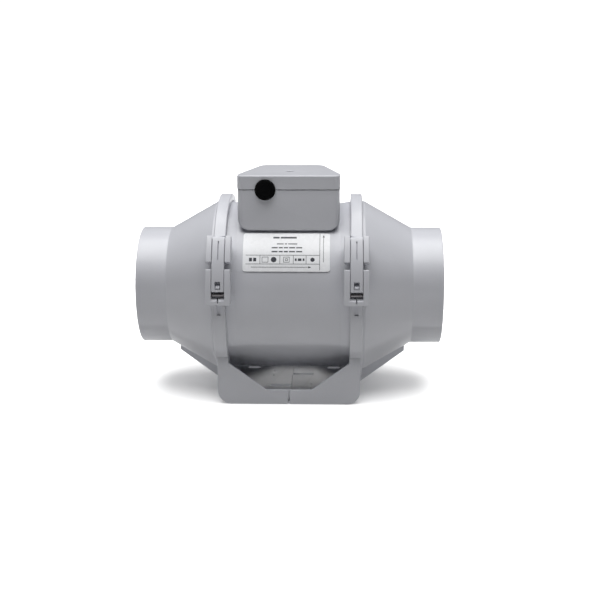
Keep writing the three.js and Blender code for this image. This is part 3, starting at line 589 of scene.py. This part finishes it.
def clamp_hoop():
    band = sweep(channel_profile(HOOP_HALF_W), *HOOP_DEG)
    ears = sweep(trough_profile(), HOOP_DEG[0], HOOP_EARS_TO_DEG, edge=0.6, step=1)
    lug_corners = [
        polar(CLAMP_OUT_R, 158), (HINGE[0] + 2.8, HINGE[1] + 3.1),
        (HINGE[0] - 3.1, HINGE[1] - 2.8), polar(CLAMP_GROOVE_R + 0.3, HOOP_DEG[1]),
    ]
    lug = prism("x", lug_corners, *across(HOOP_HALF_W))
    knuckle = rod("x", HINGE, 4.2, *across(HOOP_HALF_W), edge=0.4)
    hoop = join(band, ears, lug, knuckle)
    lever_hole = rod("x", LEVER_PIVOT, LEVER_PIN_HOLE_R, *CUT_X)
    return cut(hoop, lever_hole, rod("x", HINGE, HINGE_HOLE_R, *CUT_X))


def latch_lever():
    inner_r, outer_r = LEVER_MID_R - LEVER_HALF_T, LEVER_MID_R + LEVER_HALF_T
    x0, x1 = across(LEVER_HALF_W)
    profile = fillet([(x0, inner_r), (x0, outer_r), (x1, outer_r), (x1, inner_r)], [0.4, 0.8, 0.8, 0.4])
    strip = sweep(profile, *LEVER_DEG, edge=0.6, step=1)
    lever = join(strip, rod("x", LEVER_PIVOT, LEVER_HALF_T - 0.15, x0, x1, edge=0.4))
    left, right = across(2.1)
    window_profile = [(left, 70), (left, CUT_TO_R), (right, CUT_TO_R), (right, 70)]
    slit_profile = [
        (CLAMP_X + x, r)
        for x, r in ((-0.3, outer_r - 1.5), (-0.6, outer_r + 1), (0.6, outer_r + 1), (0.3, outer_r - 1.5))
    ]
    window = sweep(window_profile, 9.3, 13.5, edge=0)
    slit = sweep(slit_profile, 25.6, 36.4, edge=0, step=1)
    return cut(lever, window, slit, rod("x", LEVER_PIVOT, LEVER_PIN_HOLE_R, *CUT_X))


def catch_block():
    """Lower half of the latch: the lever's channel, its tooth, and the ledge that closes the channel."""
    block_profile = fillet(
        [(CLAMP_X + x, r) for x, r in (
            (-LATCH_HALF_W, LATCH_ROOT_R), (-LATCH_HALF_W, LATCH_OUT_R),
            (LATCH_HALF_W, LATCH_OUT_R), (LATCH_HALF_W, LATCH_ROOT_R))],
        [0.5, 0.8, 0.8, 0.5],
    )
    block = sweep(block_profile, *CATCH_DEG, edge=0.5, step=1)
    x0, x1 = across(LEVER_HALF_W + LATCH_GAP)
    trough = [(x0, LATCH_FLOOR_R), (x0, CUT_TO_R), (x1, CUT_TO_R), (x1, LATCH_FLOOR_R)]
    channel = sweep(trough, 4.6, 25, edge=0, step=1)
    ledge = prism(
        "x", [polar(LATCH_FLOOR_R, 4.8), polar(LATCH_OUT_R + 2, 4.8), polar(LATCH_OUT_R + 2, 2.2)],
        x0, x1, edges=(0, 0),
    )
    x0, x1 = across(0.5)
    slit_points = [(x0, LATCH_FLOOR_R), (x0, CUT_TO_R), (x1, CUT_TO_R), (x1, LATCH_FLOOR_R)]
    ledge_slit = sweep(slit_points, 1.5, 5, edge=0, step=1)
    tooth = prism("x", [
        polar(LATCH_FLOOR_R - 1, 9.7), polar(81, 9.7), polar(81, 10.6),
        polar(LATCH_FLOOR_R, 12.8), polar(LATCH_FLOOR_R - 1, 12.8),
    ], *across(1.7), edges=(0.25, 0.25))
    return join(cut(block, channel, ledge, ledge_slit), tooth)


# Bracket halves

def foot_outline():
    """Front of a bracket half: rail, sloping gusset, upright edge and rounded corner."""
    split_x = 0.15
    outer = quarter(BASE_HALF_X - FOOT_CORNER_R, FLOOR_Z + FOOT_CORNER_R, FOOT_CORNER_R)
    gusset_head = (CLAMP_X - CRADLE_HALF_W, FLOOR_Z + 34.2)
    return [
        (split_x + 1, FLOOR_Z), *outer, (BASE_HALF_X, FLOOR_Z + SHOULDER_HEIGHT),
        (gusset_head[0], FLOOR_Z + SHOULDER_HEIGHT), gusset_head,
        (18.2, FLOOR_Z + RAIL_HEIGHT), (split_x, FLOOR_Z + RAIL_HEIGHT), (split_x, FLOOR_Z + 9),
    ]


def tray_outline():
    """Floor and outer wall of a bracket half in one bent sheet."""
    centre = (BASE_HALF_X - FOOT_CORNER_R, FLOOR_Z + FOOT_CORNER_R)
    wall_top = FLOOR_Z + SHOULDER_HEIGHT
    inner = quarter(*centre, FOOT_CORNER_R - BASE_WALL)
    return [
        (0.15, FLOOR_Z), *quarter(*centre, FOOT_CORNER_R), (BASE_HALF_X, wall_top),
        (BASE_HALF_X - BASE_WALL, wall_top), *reversed(inner), (0.15, FLOOR_Z + BASE_WALL),
    ]


def rear_hinge_ears():
    half = 9.6
    x0, x1 = across(half)
    seat_profile = [(x0, LATCH_ROOT_R), (x0, 79.5), (x1, 79.5), (x1, LATCH_ROOT_R)]
    parts = [sweep(fillet(seat_profile, 0.5), 184, 197, step=1)]
    arm = [
        (HINGE[0] - 4.4, HINGE[1] - 1.2), (HINGE[0] + 4.4, HINGE[1] - 1.2),
        polar(79.5, 190), polar(LATCH_ROOT_R, 186),
    ]
    for start, end in ((-half, -CRADLE_HALF_W), (CRADLE_HALF_W, half)):
        parts.append(prism("x", arm, CLAMP_X + start, CLAMP_X + end))
        parts.append(rod("x", HINGE, 4.6, CLAMP_X + start, CLAMP_X + end, edge=0.4))
    return parts


def round_slot(x0, x1, y, radius):
    """Cutter for a slot with round ends through the bracket's floor."""
    outline = hull_of_circles([(x0, y, radius), (x1, y, radius)], 24)
    return prism("z", outline, FLOOR_Z - 1, FLOOR_Z + 4, edges=(0, 0))


def bracket_half(slot_side):
    """slot_side says which way from the middle the long slot beside the split lies."""
    cradle = sweep(channel_profile(CRADLE_HALF_W), *CRADLE_DEG)
    room = rod("x", (0, 0), CLAMP_GROOVE_R + 0.3, 0, 100, steps=160)
    walls = [
        prism("y", foot_outline(), y, y + BASE_WALL, edges=(0.5, 0.5))
        for y in (-BASE_HALF_Y, BASE_HALF_Y - BASE_WALL)
    ]
    tray = prism("y", tray_outline(), -BASE_HALF_Y + 0.6, BASE_HALF_Y - 0.6, edges=(0, 0))
    body = cut(join(tray, *walls), room)
    rib = prism("y", [
        (52, FLOOR_Z + 1.5), (57, FLOOR_Z + 1), (95, FLOOR_Z + 29.2),
        (95, FLOOR_Z + 33.6), (57, FLOOR_Z + 13.4), (52, FLOOR_Z + 10),
    ], -1.5, 1.5)
    whole = join(body, cradle, catch_block(), rib, *rear_hinge_ears())
    middle = slot_side * 16.3
    split_slot = box((-1, 18), (middle - 2.2, middle + 2.2), (FLOOR_Z - 1, FLOOR_Z + 4), 1, (0, 0))
    fixing = [round_slot(32, 38, side * 36, 2.7) for side in (-1, 1)]
    pins = [rod("z", (16.5, -slot_side * y), 1.1, FLOOR_Z - 1, FLOOR_Z + 4) for y in (12.3, 24.3)]
    x0, x1 = across(1.5)
    strap_profile = [(x0, LATCH_ROOT_R), (x0, CUT_TO_R), (x1, CUT_TO_R), (x1, LATCH_ROOT_R)]
    strap_slot = sweep(strap_profile, -6.6, 0, edge=0)
    hinge_hole = rod("x", HINGE, HINGE_HOLE_R, *CUT_X)
    return cut(whole, split_slot, strap_slot, hinge_hole, *fixing, *pins)


# Terminal box

COVER_SCREW_XY = [(low + high) / 2 for low, high in zip(*[corner[:2] for corner in node_box("cover_screw")])]
GROMMET_LOW, GROMMET_HIGH = node_box("cable_grommet")
GROMMET_X = (GROMMET_LOW.x + GROMMET_HIGH.x) / 2
GROMMET_Z = (GROMMET_LOW.z + GROMMET_HIGH.z) / 2 - AXIS_Z
BOX_PLAN = hull_of_circles([
    circle for side in (-1, 1)
    for circle in ((side * 35.8, BOX_FRONT_Y + 4.5, 4.5), (side * 35.8, -33, 4.5), (side * 19.5, 22, 8))
])
REBATE = 1.2
PAD_TOP_Z = 72
CLAMP_POSTS = [(-27.5, -31), (-9, -31)]
CLAMP_POST_TOP_Z = 86.5


def cord_slot():
    return rod("y", (GROMMET_X, GROMMET_Z), 6.3, BOX_FRONT_Y - 5, BOX_FRONT_Y + 12)


def box_front(depth):
    """The box seen from the front, moved in by depth, with rounded lower corners."""
    side = quarter(40.3 - 9.5, 53.3 + 9.5, 9.5 - depth)
    side.append((40.3 - depth, BOX_SEAM_Z + 5))
    return side + [(-x, z) for x, z in reversed(side)]


def terminal_box():
    outside = prism("z", BOX_PLAN, 40, BOX_SEAM_Z, edges=(0, 0.3))
    outside = combine("INTERSECT", outside, [prism("y", box_front(0), BOX_FRONT_Y, 60, edges=(1.2, 0))])
    hollow = prism("z", inset(BOX_PLAN, BOX_WALL), 50, BOX_SEAM_Z + 5, edges=(0, 0))
    hollow = combine("INTERSECT", hollow, [prism("y", box_front(BOX_WALL), -60, 60, edges=(0, 0))])
    hollow = cut(hollow, rod("x", (0, 0), SADDLE_R + 2, -60, 60, steps=160))
    shell = cut(outside, hollow)
    block_low, block_high = node_box("terminal_block")
    capacitor_low, capacitor_high = node_box("run_capacitor")
    pads = [
        box((low.x, high.x), (low.y, high.y), (60, PAD_TOP_Z), 1, (0, 0.3))
        for low, high in ((block_low, block_high), (capacitor_low, capacitor_high))
    ]
    posts = [rod("z", COVER_SCREW_XY, 4.2, 62, BOX_SEAM_Z, edge=0.3)]
    posts += [rod("z", at, 3.2, 60, CLAMP_POST_TOP_Z, edge=0.3) for at in CLAMP_POSTS]
    posts += [rod("z", at, 4.2, 62, PAD_TOP_Z, edge=0.3) for at in BOX_SCREWS_XY]
    shell = join(shell, *pads, *posts)
    holes = [rod("z", COVER_SCREW_XY, 1.7, 73, 100), rod("z", (LEAD_X, 0), 4.5, 40, 100), cord_slot()]
    holes += [rod("z", at, 1.5, 76, 100) for at in CLAMP_POSTS]
    holes += [rod("z", at, SCREW_HOLE_R, 40, 100) for at in BOX_SCREWS_XY]
    lip = prism("z", inset(BOX_PLAN, REBATE), BOX_SEAM_Z - REBATE, 100, edges=(0, 0))
    lip = cut(lip, prism("z", inset(BOX_PLAN, BOX_WALL + 0.01), 70, 110, edges=(0, 0)))
    return cut(shell, lip, rod("x", (0, 0), SADDLE_R, -60, 60, steps=160), *holes)


def terminal_cover():
    bottom = BOX_SEAM_Z + SEAM_GAP
    skin = 2.4
    slab = prism("z", inset(BOX_PLAN, -0.4), bottom, BOX_TOP_Z, edges=(0.3, 1.3))
    inside = prism("z", inset(BOX_PLAN, BOX_WALL), bottom - 5, BOX_TOP_Z - skin, edges=(0, 1))
    boss = rod("z", COVER_SCREW_XY, 5.2, bottom + 0.5, BOX_TOP_Z - skin + 1, edge=0.3)
    lid = join(cut(slab, inside), boss)
    lip = cut(
        prism("z", inset(BOX_PLAN, REBATE), bottom - 5, bottom + REBATE, edges=(0, 0)),
        rod("z", COVER_SCREW_XY, 5.3, bottom - 8, BOX_TOP_Z),
    )
    flared = [
        (BOX_TOP_Z - 4, 0), (BOX_TOP_Z - 4, 3.6), (BOX_TOP_Z - 0.4, 3.6),
        (BOX_TOP_Z + 0.6, 4.6), (BOX_TOP_Z + 0.6, 0),
    ]
    recess = spin(flared, "z", COVER_SCREW_XY, 64)
    return cut(lid, lip, recess, rod("z", COVER_SCREW_XY, 1.8, bottom - 8, BOX_TOP_Z + 2), cord_slot())


def cable_grommet():
    """Blind rubber plug: domed face with a shallow ring, neck in the wall and a bead behind it."""
    front, back = GROMMET_LOW.y, GROMMET_HIGH.y
    flange_r = (GROMMET_HIGH.x - GROMMET_LOW.x) / 2
    profile = [
        (front, 0, 0), (front, 4.6, 0.5), (front + 0.35, 5.0, 0.3), (front + 0.1, 5.6, 0.3),
        (front + 0.1, flange_r - 1.2, 1), (front + 1.2, flange_r, 0.5), (front + 2.2, flange_r, 0.3),
        (front + 2.2, 6, 0.2), (back - 1.6, 6, 0.2), (back - 1.6, 7.2, 0.4), (back, 7.2, 0.4), (back, 0, 0),
    ]
    return spin(fillet([p[:2] for p in profile], [p[2] for p in profile]), "y", (GROMMET_X, GROMMET_Z), 96)


def cross_screw(node, shank_r):
    """Pan-head screw with a cross recess, standing along z in its CAD node's place."""
    low, high = node_box(node)
    centre = ((low.x + high.x) / 2, (low.y + high.y) / 2)
    top, tip = high.z - AXIS_Z, low.z - AXIS_Z
    head_r = (high.x - low.x) / 2
    under = top - (2 if head_r > 2.5 else 1.6)
    profile = [(tip, 0), (tip, shank_r * 0.4), (tip + shank_r, shank_r), (under, shank_r), (under, head_r)]
    crown_rise, crown_steps = head_r * 0.5, 8
    for k in range(crown_steps, -1, -1):
        angle = math.pi / 2 * k / crown_steps
        profile.append((top - crown_rise * (1 - math.cos(angle)), head_r * math.sin(angle)))
    screw = spin(profile, "z", centre, 48)
    arm, half = head_r * 0.62, head_r * 0.13
    recess_z = (top - 1, top + 1)
    bars = [
        box((centre[0] - a, centre[0] + a), (centre[1] - b, centre[1] + b), recess_z, 0.1, (0, 0))
        for a, b in ((arm, half), (half, arm))
    ]
    return cut(screw, *bars)


# Rating label, with bars and plain shapes where the print is

LABEL_DEG = (20.6, 48)
LABEL_R = node_box("rating_label")[0].y / -math.cos(math.radians(LABEL_DEG[0]))
PRINT_THICK = 0.06
PRINT_SUNK = 0.05


def on_label(x, degrees, height=0.0):
    return (x, *polar(LABEL_R + height, degrees))


def label_sheet():
    """The film: a thin rounded rectangle bent round the barrel."""
    low, high = node_box("rating_label")
    degrees_per_mm = math.degrees(1 / LABEL_R)
    from_deg, to_deg = LABEL_DEG
    across_mm = (to_deg - from_deg) / degrees_per_mm
    rows, corner_r = 40, 2.0
    thick = 0.3
    rings = []
    for k in range(rows + 1):
        along = across_mm * (0.5 - 0.5 * math.cos(math.pi * k / rows))
        from_end = min(along, across_mm - along)
        narrowing = corner_r - math.sqrt(max(0, corner_r ** 2 - max(0, corner_r - from_end) ** 2))
        x0, x1 = low.x + narrowing, high.x - narrowing
        angle = from_deg + along * degrees_per_mm
        rings.append([
            (x0, *polar(LABEL_R - thick, angle)), (x1, *polar(LABEL_R - thick, angle)),
            (x1, *polar(LABEL_R, angle)), (x0, *polar(LABEL_R, angle)),
        ])
    return solid(rings)


class PrintSheet:
    """Collects thin raised shapes that follow the label's curve, drawn in (x, degrees)."""

    def __init__(self):
        self.mesh = bmesh.new()

    def slab(self, points):
        """One shape from an outline of (x, degrees) points."""
        lift = Vector((0, 0, AXIS_Z))
        low = [self.mesh.verts.new((Vector(on_label(x, a, -PRINT_SUNK)) + lift) * MM) for x, a in points]
        high = [self.mesh.verts.new((Vector(on_label(x, a, PRINT_THICK)) + lift) * MM) for x, a in points]
        self.mesh.faces.new(low)
        self.mesh.faces.new(high)
        for i in range(len(points)):
            j = (i + 1) % len(points)
            self.mesh.faces.new((low[i], low[j], high[j], high[i]))

    def bar(self, x0, x1, from_deg, to_deg):
        """A rectangle, cut into short rows so that each stays on the curve."""
        rows = max(1, math.ceil((to_deg - from_deg) / 1.5))
        for k in range(rows):
            a = from_deg + (to_deg - from_deg) * k / rows
            b = from_deg + (to_deg - from_deg) * (k + 1) / rows
            self.slab([(x0, a), (x1, a), (x1, b), (x0, b)])

    def frame(self, x0, x1, from_deg, to_deg, line):
        """An open rectangle with sides of one line's width."""
        rise = math.degrees(line / LABEL_R)
        self.bar(x0, x1, from_deg, from_deg + rise)
        self.bar(x0, x1, to_deg - rise, to_deg)
        self.bar(x0, x0 + line, from_deg + rise, to_deg - rise)
        self.bar(x1 - line, x1, from_deg + rise, to_deg - rise)

    def disc(self, x, degrees, radius, steps=20):
        turn = [math.tau * k / steps for k in range(steps)]
        degrees_out = math.degrees(radius / LABEL_R)
        self.slab([(x + radius * math.cos(t), degrees + degrees_out * math.sin(t)) for t in turn])

    def finish(self):
        bmesh.ops.recalc_face_normals(self.mesh, faces=self.mesh.faces)
        data = bpy.data.meshes.new("print")
        self.mesh.to_mesh(data)
        self.mesh.free()
        made = bpy.data.objects.new("print", data)
        bpy.context.scene.collection.objects.link(made)
        return made


def word_bars(sheet, x0, x1, degrees, height, lengths):
    """A line of greeked text: bars of the given lengths, shared out between x0 and x1."""
    space = 0.9
    unit = (x1 - x0 - space * (len(lengths) - 1)) / sum(lengths)
    rise = math.degrees(height / LABEL_R)
    x = x0
    for length in lengths:
        sheet.bar(x, x + unit * length, degrees - rise / 2, degrees + rise / 2)
        x += unit * length + space


def label_print():
    sheet = PrintSheet()
    line = 0.35
    rise = math.degrees(line / LABEL_R)
    rule_x, left_x = 24.6, -33.2
    sheet.bar(rule_x, rule_x + line, 21.6, 48)
    for degrees in (25.5, 31.5):
        sheet.bar(left_x, rule_x, degrees, degrees + rise)
    for x in (-22.1, -6.5, 4.0, 14.0):
        sheet.bar(x, x + line, 25.5, 31.5)
    word_bars(sheet, -12, 6.5, 44.6, 1.5, (2, 5))
    word_bars(sheet, -9, 7, 39.8, 0.8, (3, 1, 4))
    word_bars(sheet, -13, 11, 37.0, 1.0, (3, 2, 2, 3, 3))
    word_bars(sheet, -13, 11, 34.2, 1.1, (3, 2, 2, 3, 3))
    marks = 28.6
    sheet.bar(-30.5, -28.2, marks - 1.2, marks + 1.2)
    sheet.bar(-27.2, -24.9, marks - 1.2, marks + 1.2)
    sheet.frame(-20.5, -15.4, marks - 1.9, marks + 1.9, line)
    sheet.disc(-11.2, marks, 2.2)
    sheet.frame(-3.6, 1.2, marks - 1.9, marks + 1.9, line)
    sheet.frame(-2.2, -0.2, marks - 0.8, marks + 0.8, line)
    word_bars(sheet, 5.4, 12.9, marks, 2.0, (1, 2, 1))
    sheet.disc(19.2, marks, 1.7)
    sheet.bar(-29, 16.5, 23.4, 23.4 + rise)
    sheet.slab([(16, 22.8), (18.1, 23.5), (16, 24.2)])
    sheet.bar(27.55, 27.55 + line, 26.9, 45.2)
    sheet.slab([(26.9, 44.8), (28.55, 44.8), (27.72, 46.6)])
    return sheet.finish()


# Inside: impeller, guide vanes and fairing

def mix(pair, share):
    return pair[0] + (pair[1] - pair[0]) * share


def bent_blade(xs, hub_r, tip_r, start_deg, turn_deg, thick, stations=8, steps=14):
    """A blade from hub to tip. Its section is thickest ahead of the middle and has round edges."""
    rings = []
    for s in range(stations + 1):
        up = s / stations
        ring = []
        for side in (1, -1):
            shares = [0.5 - 0.5 * math.cos(math.pi * k / steps) for k in range(steps + 1)]
            for share in (shares[:-1] if side > 0 else shares[:0:-1]):
                radius = mix((mix(hub_r, share), mix(tip_r, share)), up)
                half = 0.5 * thick * min(1.0, 2.6 * math.sqrt(max(0.0, share * (1 - share))) + 0.06)
                angle = math.radians(start_deg + turn_deg * share) + side * half / radius
                ring.append((mix(xs, share), -radius * math.cos(angle), radius * math.sin(angle)))
        rings.append(ring)
    return solid(rings)


def impeller():
    count = 9
    corners = [
        (-41.5, 3.06, 0), (-41.5, 14.5, 0.8), (-40, 16.5, 1), (-10, 31.5, 0.6), (-10, 29.5, 0.4),
        (-37.5, 14.5, 1), (-37.5, 6, 0.5), (-20, 6, 0.4), (-20, 3.06, 0),
    ]
    hub = spin(fillet([c[:2] for c in corners], [c[2] for c in corners]), steps=120)
    starts = [360 / count * k + 3 for k in range(count)]
    blades = [bent_blade((-39, -11), (15.5, 29.5), (50, 61.5), start, 42, 2.2) for start in starts]
    return join(hub, *blades)


def impeller_nut():
    dome = [
        (-50, 0), (-49.8, 2.6), (-49.3, 5.2), (-48.3, 8),
        (-47, 10.2), (-45.2, 12.2), (-43.4, 13.4), (-41.8, 14),
    ]
    return spin(dome + [(-41.8, 3.06), (-47, 3.06), (-47, 0)], steps=96)


def guide_vane_housing():
    count, turn = 7, 10
    cup = spin(fillet(
        [(-6, 31), (-6, 33), (42, 33), (42, 0), (40, 0), (40, 31)], [0.5, 0.5, 1.2, 0, 0, 1]), steps=120)
    sleeve = spin(fillet([(-4, 63.7), (40, 63.7), (40, 65.2), (-4, 65.2)], 0.5), steps=160)
    vanes = [
        bent_blade(
            (-2, 38), (32, 32), (64.5, 64.5), 90 - turn / 2 + 360 / count * k, turn, 9 if k == 0 else 1.6,
        ) for k in range(count)
    ]
    screw_holes = [rod("x", polar(22, a), 1.8, 37, 47) for a in (90, 210, 330)]
    return cut(join(cup, sleeve, *vanes), rod("z", (LEAD_X, 0), 2.4, 20, 80), *screw_holes)


def tail_fairing():
    outer = [
        (42.3, 33), (46, 32.7), (50, 31.8), (54, 29.6), (58, 26),
        (61, 21.5), (63.5, 15), (65.1, 8), (65.8, 0),
    ]
    inner = [
        (63.8, 0), (63.2, 6.8), (61.8, 13.8), (59.4, 19.6),
        (56.6, 24), (53, 27.4), (49.4, 29.8), (42.3, 31),
    ]
    return spin(outer + inner, steps=120)


# Everything in its place

both_ends("duct_cone", duct_cone)
stands_for("centre_casing", centre_casing())
both_ends("clamp_hoop", clamp_hoop)
both_ends("latch_lever", latch_lever)
stands_for("bracket_half_outlet", bracket_half(1))
stands_for("bracket_half_inlet", mirrored(bracket_half(-1)))
stands_for("terminal_box", terminal_box())
stands_for("terminal_cover", terminal_cover())
stands_for("cable_grommet", cable_grommet())
stands_for("cover_screw", cross_screw("cover_screw", 1.5))
for number in (1, 2):
    stands_for(f"box_screw_{number}", cross_screw(f"box_screw_{number}", 1.5))
    stands_for(f"cord_clamp_screw_{number}", cross_screw(f"cord_clamp_screw_{number}", 1.3))
stands_for("rating_label", label_sheet())
finished(label_print(), "label_print", ROOT, "label", INK)
stands_for("impeller", impeller())
stands_for("impeller_nut", impeller_nut())
stands_for("guide_vane_housing", guide_vane_housing())
stands_for("tail_fairing", tail_fairing())

# CAD nodes that stay: their edges are softened and they get their finish
for name, node in frame["nodes"].items():
    if node.hide_render:
        continue
    slot_name = SLOT_OF[name]
    node.data.materials.clear()
    node.data.materials.append(MATERIALS[slot_name])
    weld = node.modifiers.new("weld", "WELD")
    weld.merge_threshold = 1e-6
    bevel = node.modifiers.new("soft_edges", "BEVEL")
    bevel.width = 0.25 * MM
    bevel.segments = 2
    bevel.limit_method = "ANGLE"
    bevel.angle_limit = math.radians(42)
    bevel.harden_normals = False


# Floor, light and camera

def stage_floor():
    """A pale floor. It lights nothing itself: the surroundings stand in for the light it returns."""
    mesh = bpy.data.meshes.new("floor")
    half = 14.0
    corners = [(-half, -half, 0), (half, -half, 0), (half, half, 0), (-half, half, 0)]
    mesh.from_pydata(corners, [], [(0, 1, 2, 3)])
    floor = bpy.data.objects.new("floor", mesh)
    bpy.context.scene.collection.objects.link(floor)
    made, _, shader = named_material("pale_floor")
    shader.inputs["Base Color"].default_value = (0.9, 0.9, 0.9, 1)
    shader.inputs["Roughness"].default_value = 0.7
    mesh.materials.append(made)
    floor.visible_diffuse = False
    return floor


def add_sun(name, strength, spread_deg, azimuth, elevation, only=None):
    """A soft distant lamp. Azimuth 0 shines from the front, and only lists the objects it lights."""
    data = bpy.data.lights.new(name, "SUN")
    data.energy = strength
    data.angle = math.radians(spread_deg)
    lamp = bpy.data.objects.new(name, data)
    a, e = math.radians(azimuth), math.radians(elevation)
    towards = Vector((math.sin(a) * math.cos(e), -math.cos(a) * math.cos(e), math.sin(e)))
    lamp.rotation_euler = towards.to_track_quat("Z", "Y").to_euler()
    bpy.context.scene.collection.objects.link(lamp)
    if only:
        receivers = bpy.data.collections.new(name + "_receivers")
        for piece in only:
            receivers.objects.link(piece)
        lamp.light_linking.receiver_collection = receivers


def studio_world(from_above, from_below, seen):
    """Surroundings that are dim above and bright below, like a lit floor; the backdrop is seen white."""
    world = bpy.data.worlds.new("studio")
    world.use_nodes = True
    tree = world.node_tree
    background = tree.nodes["Background"]
    background.inputs["Color"].default_value = (1, 1, 1, 1)
    direction = tree.nodes.new("ShaderNodeTexCoord")
    parts = tree.nodes.new("ShaderNodeSeparateXYZ")
    tree.links.new(direction.outputs["Generated"], parts.inputs["Vector"])
    brightest_z, dim_from_z = -1.0, -0.3
    lighting = remap(tree, parts.outputs["Z"], from_below, from_above, brightest_z, dim_from_z)
    path = tree.nodes.new("ShaderNodeLightPath")
    level = tree.nodes.new("ShaderNodeMapRange")
    tree.links.new(path.outputs["Is Camera Ray"], level.inputs["Value"])
    tree.links.new(lighting, level.inputs["To Min"])
    level.inputs["To Max"].default_value = seen
    tree.links.new(level.outputs["Result"], background.inputs["Strength"])
    bpy.context.scene.world = world


def add_camera():
    """Stands 0.95 m off, a little right of the middle, and looks 13 degrees down."""
    data = bpy.data.cameras.new("camera")
    data.sensor_width = 36
    data.lens = 67.6
    camera = bpy.data.objects.new("camera", data)
    camera.location = (0.0420, -0.9234, AXIS_Z * MM + 0.2035)
    yaw, pitch, roll = math.radians(2.17), math.radians(13.22), math.radians(-0.23)
    forward = Vector((-math.sin(yaw) * math.cos(pitch), math.cos(yaw) * math.cos(pitch), -math.sin(pitch)))
    level_right = forward.cross(Vector((0, 0, 1))).normalized()
    level_up = level_right.cross(forward)
    right = level_right * math.cos(roll) + level_up * math.sin(roll)
    up = level_up * math.cos(roll) - level_right * math.sin(roll)
    camera.rotation_mode = "QUATERNION"
    camera.rotation_quaternion = Matrix([right, up, -forward]).transposed().to_quaternion()
    bpy.context.scene.collection.objects.link(camera)
    bpy.context.scene.camera = camera


floor_sheet = stage_floor()
studio_world(from_above=0.05, from_below=2.2, seen=1.05)
add_sun("overhead", strength=3.9, spread_deg=58, azimuth=-4, elevation=86)
add_sun("floor_dome", strength=3.5, spread_deg=130, azimuth=0, elevation=90, only=[floor_sheet])
brackets = [bpy.data.objects[f"bracket_half_{end}_piece"] for end in ENDS]
add_sun("through_the_feet", strength=0.25, spread_deg=20, azimuth=180, elevation=26, only=brackets)
add_camera()
bpy.context.scene.view_settings.view_transform = "Standard"
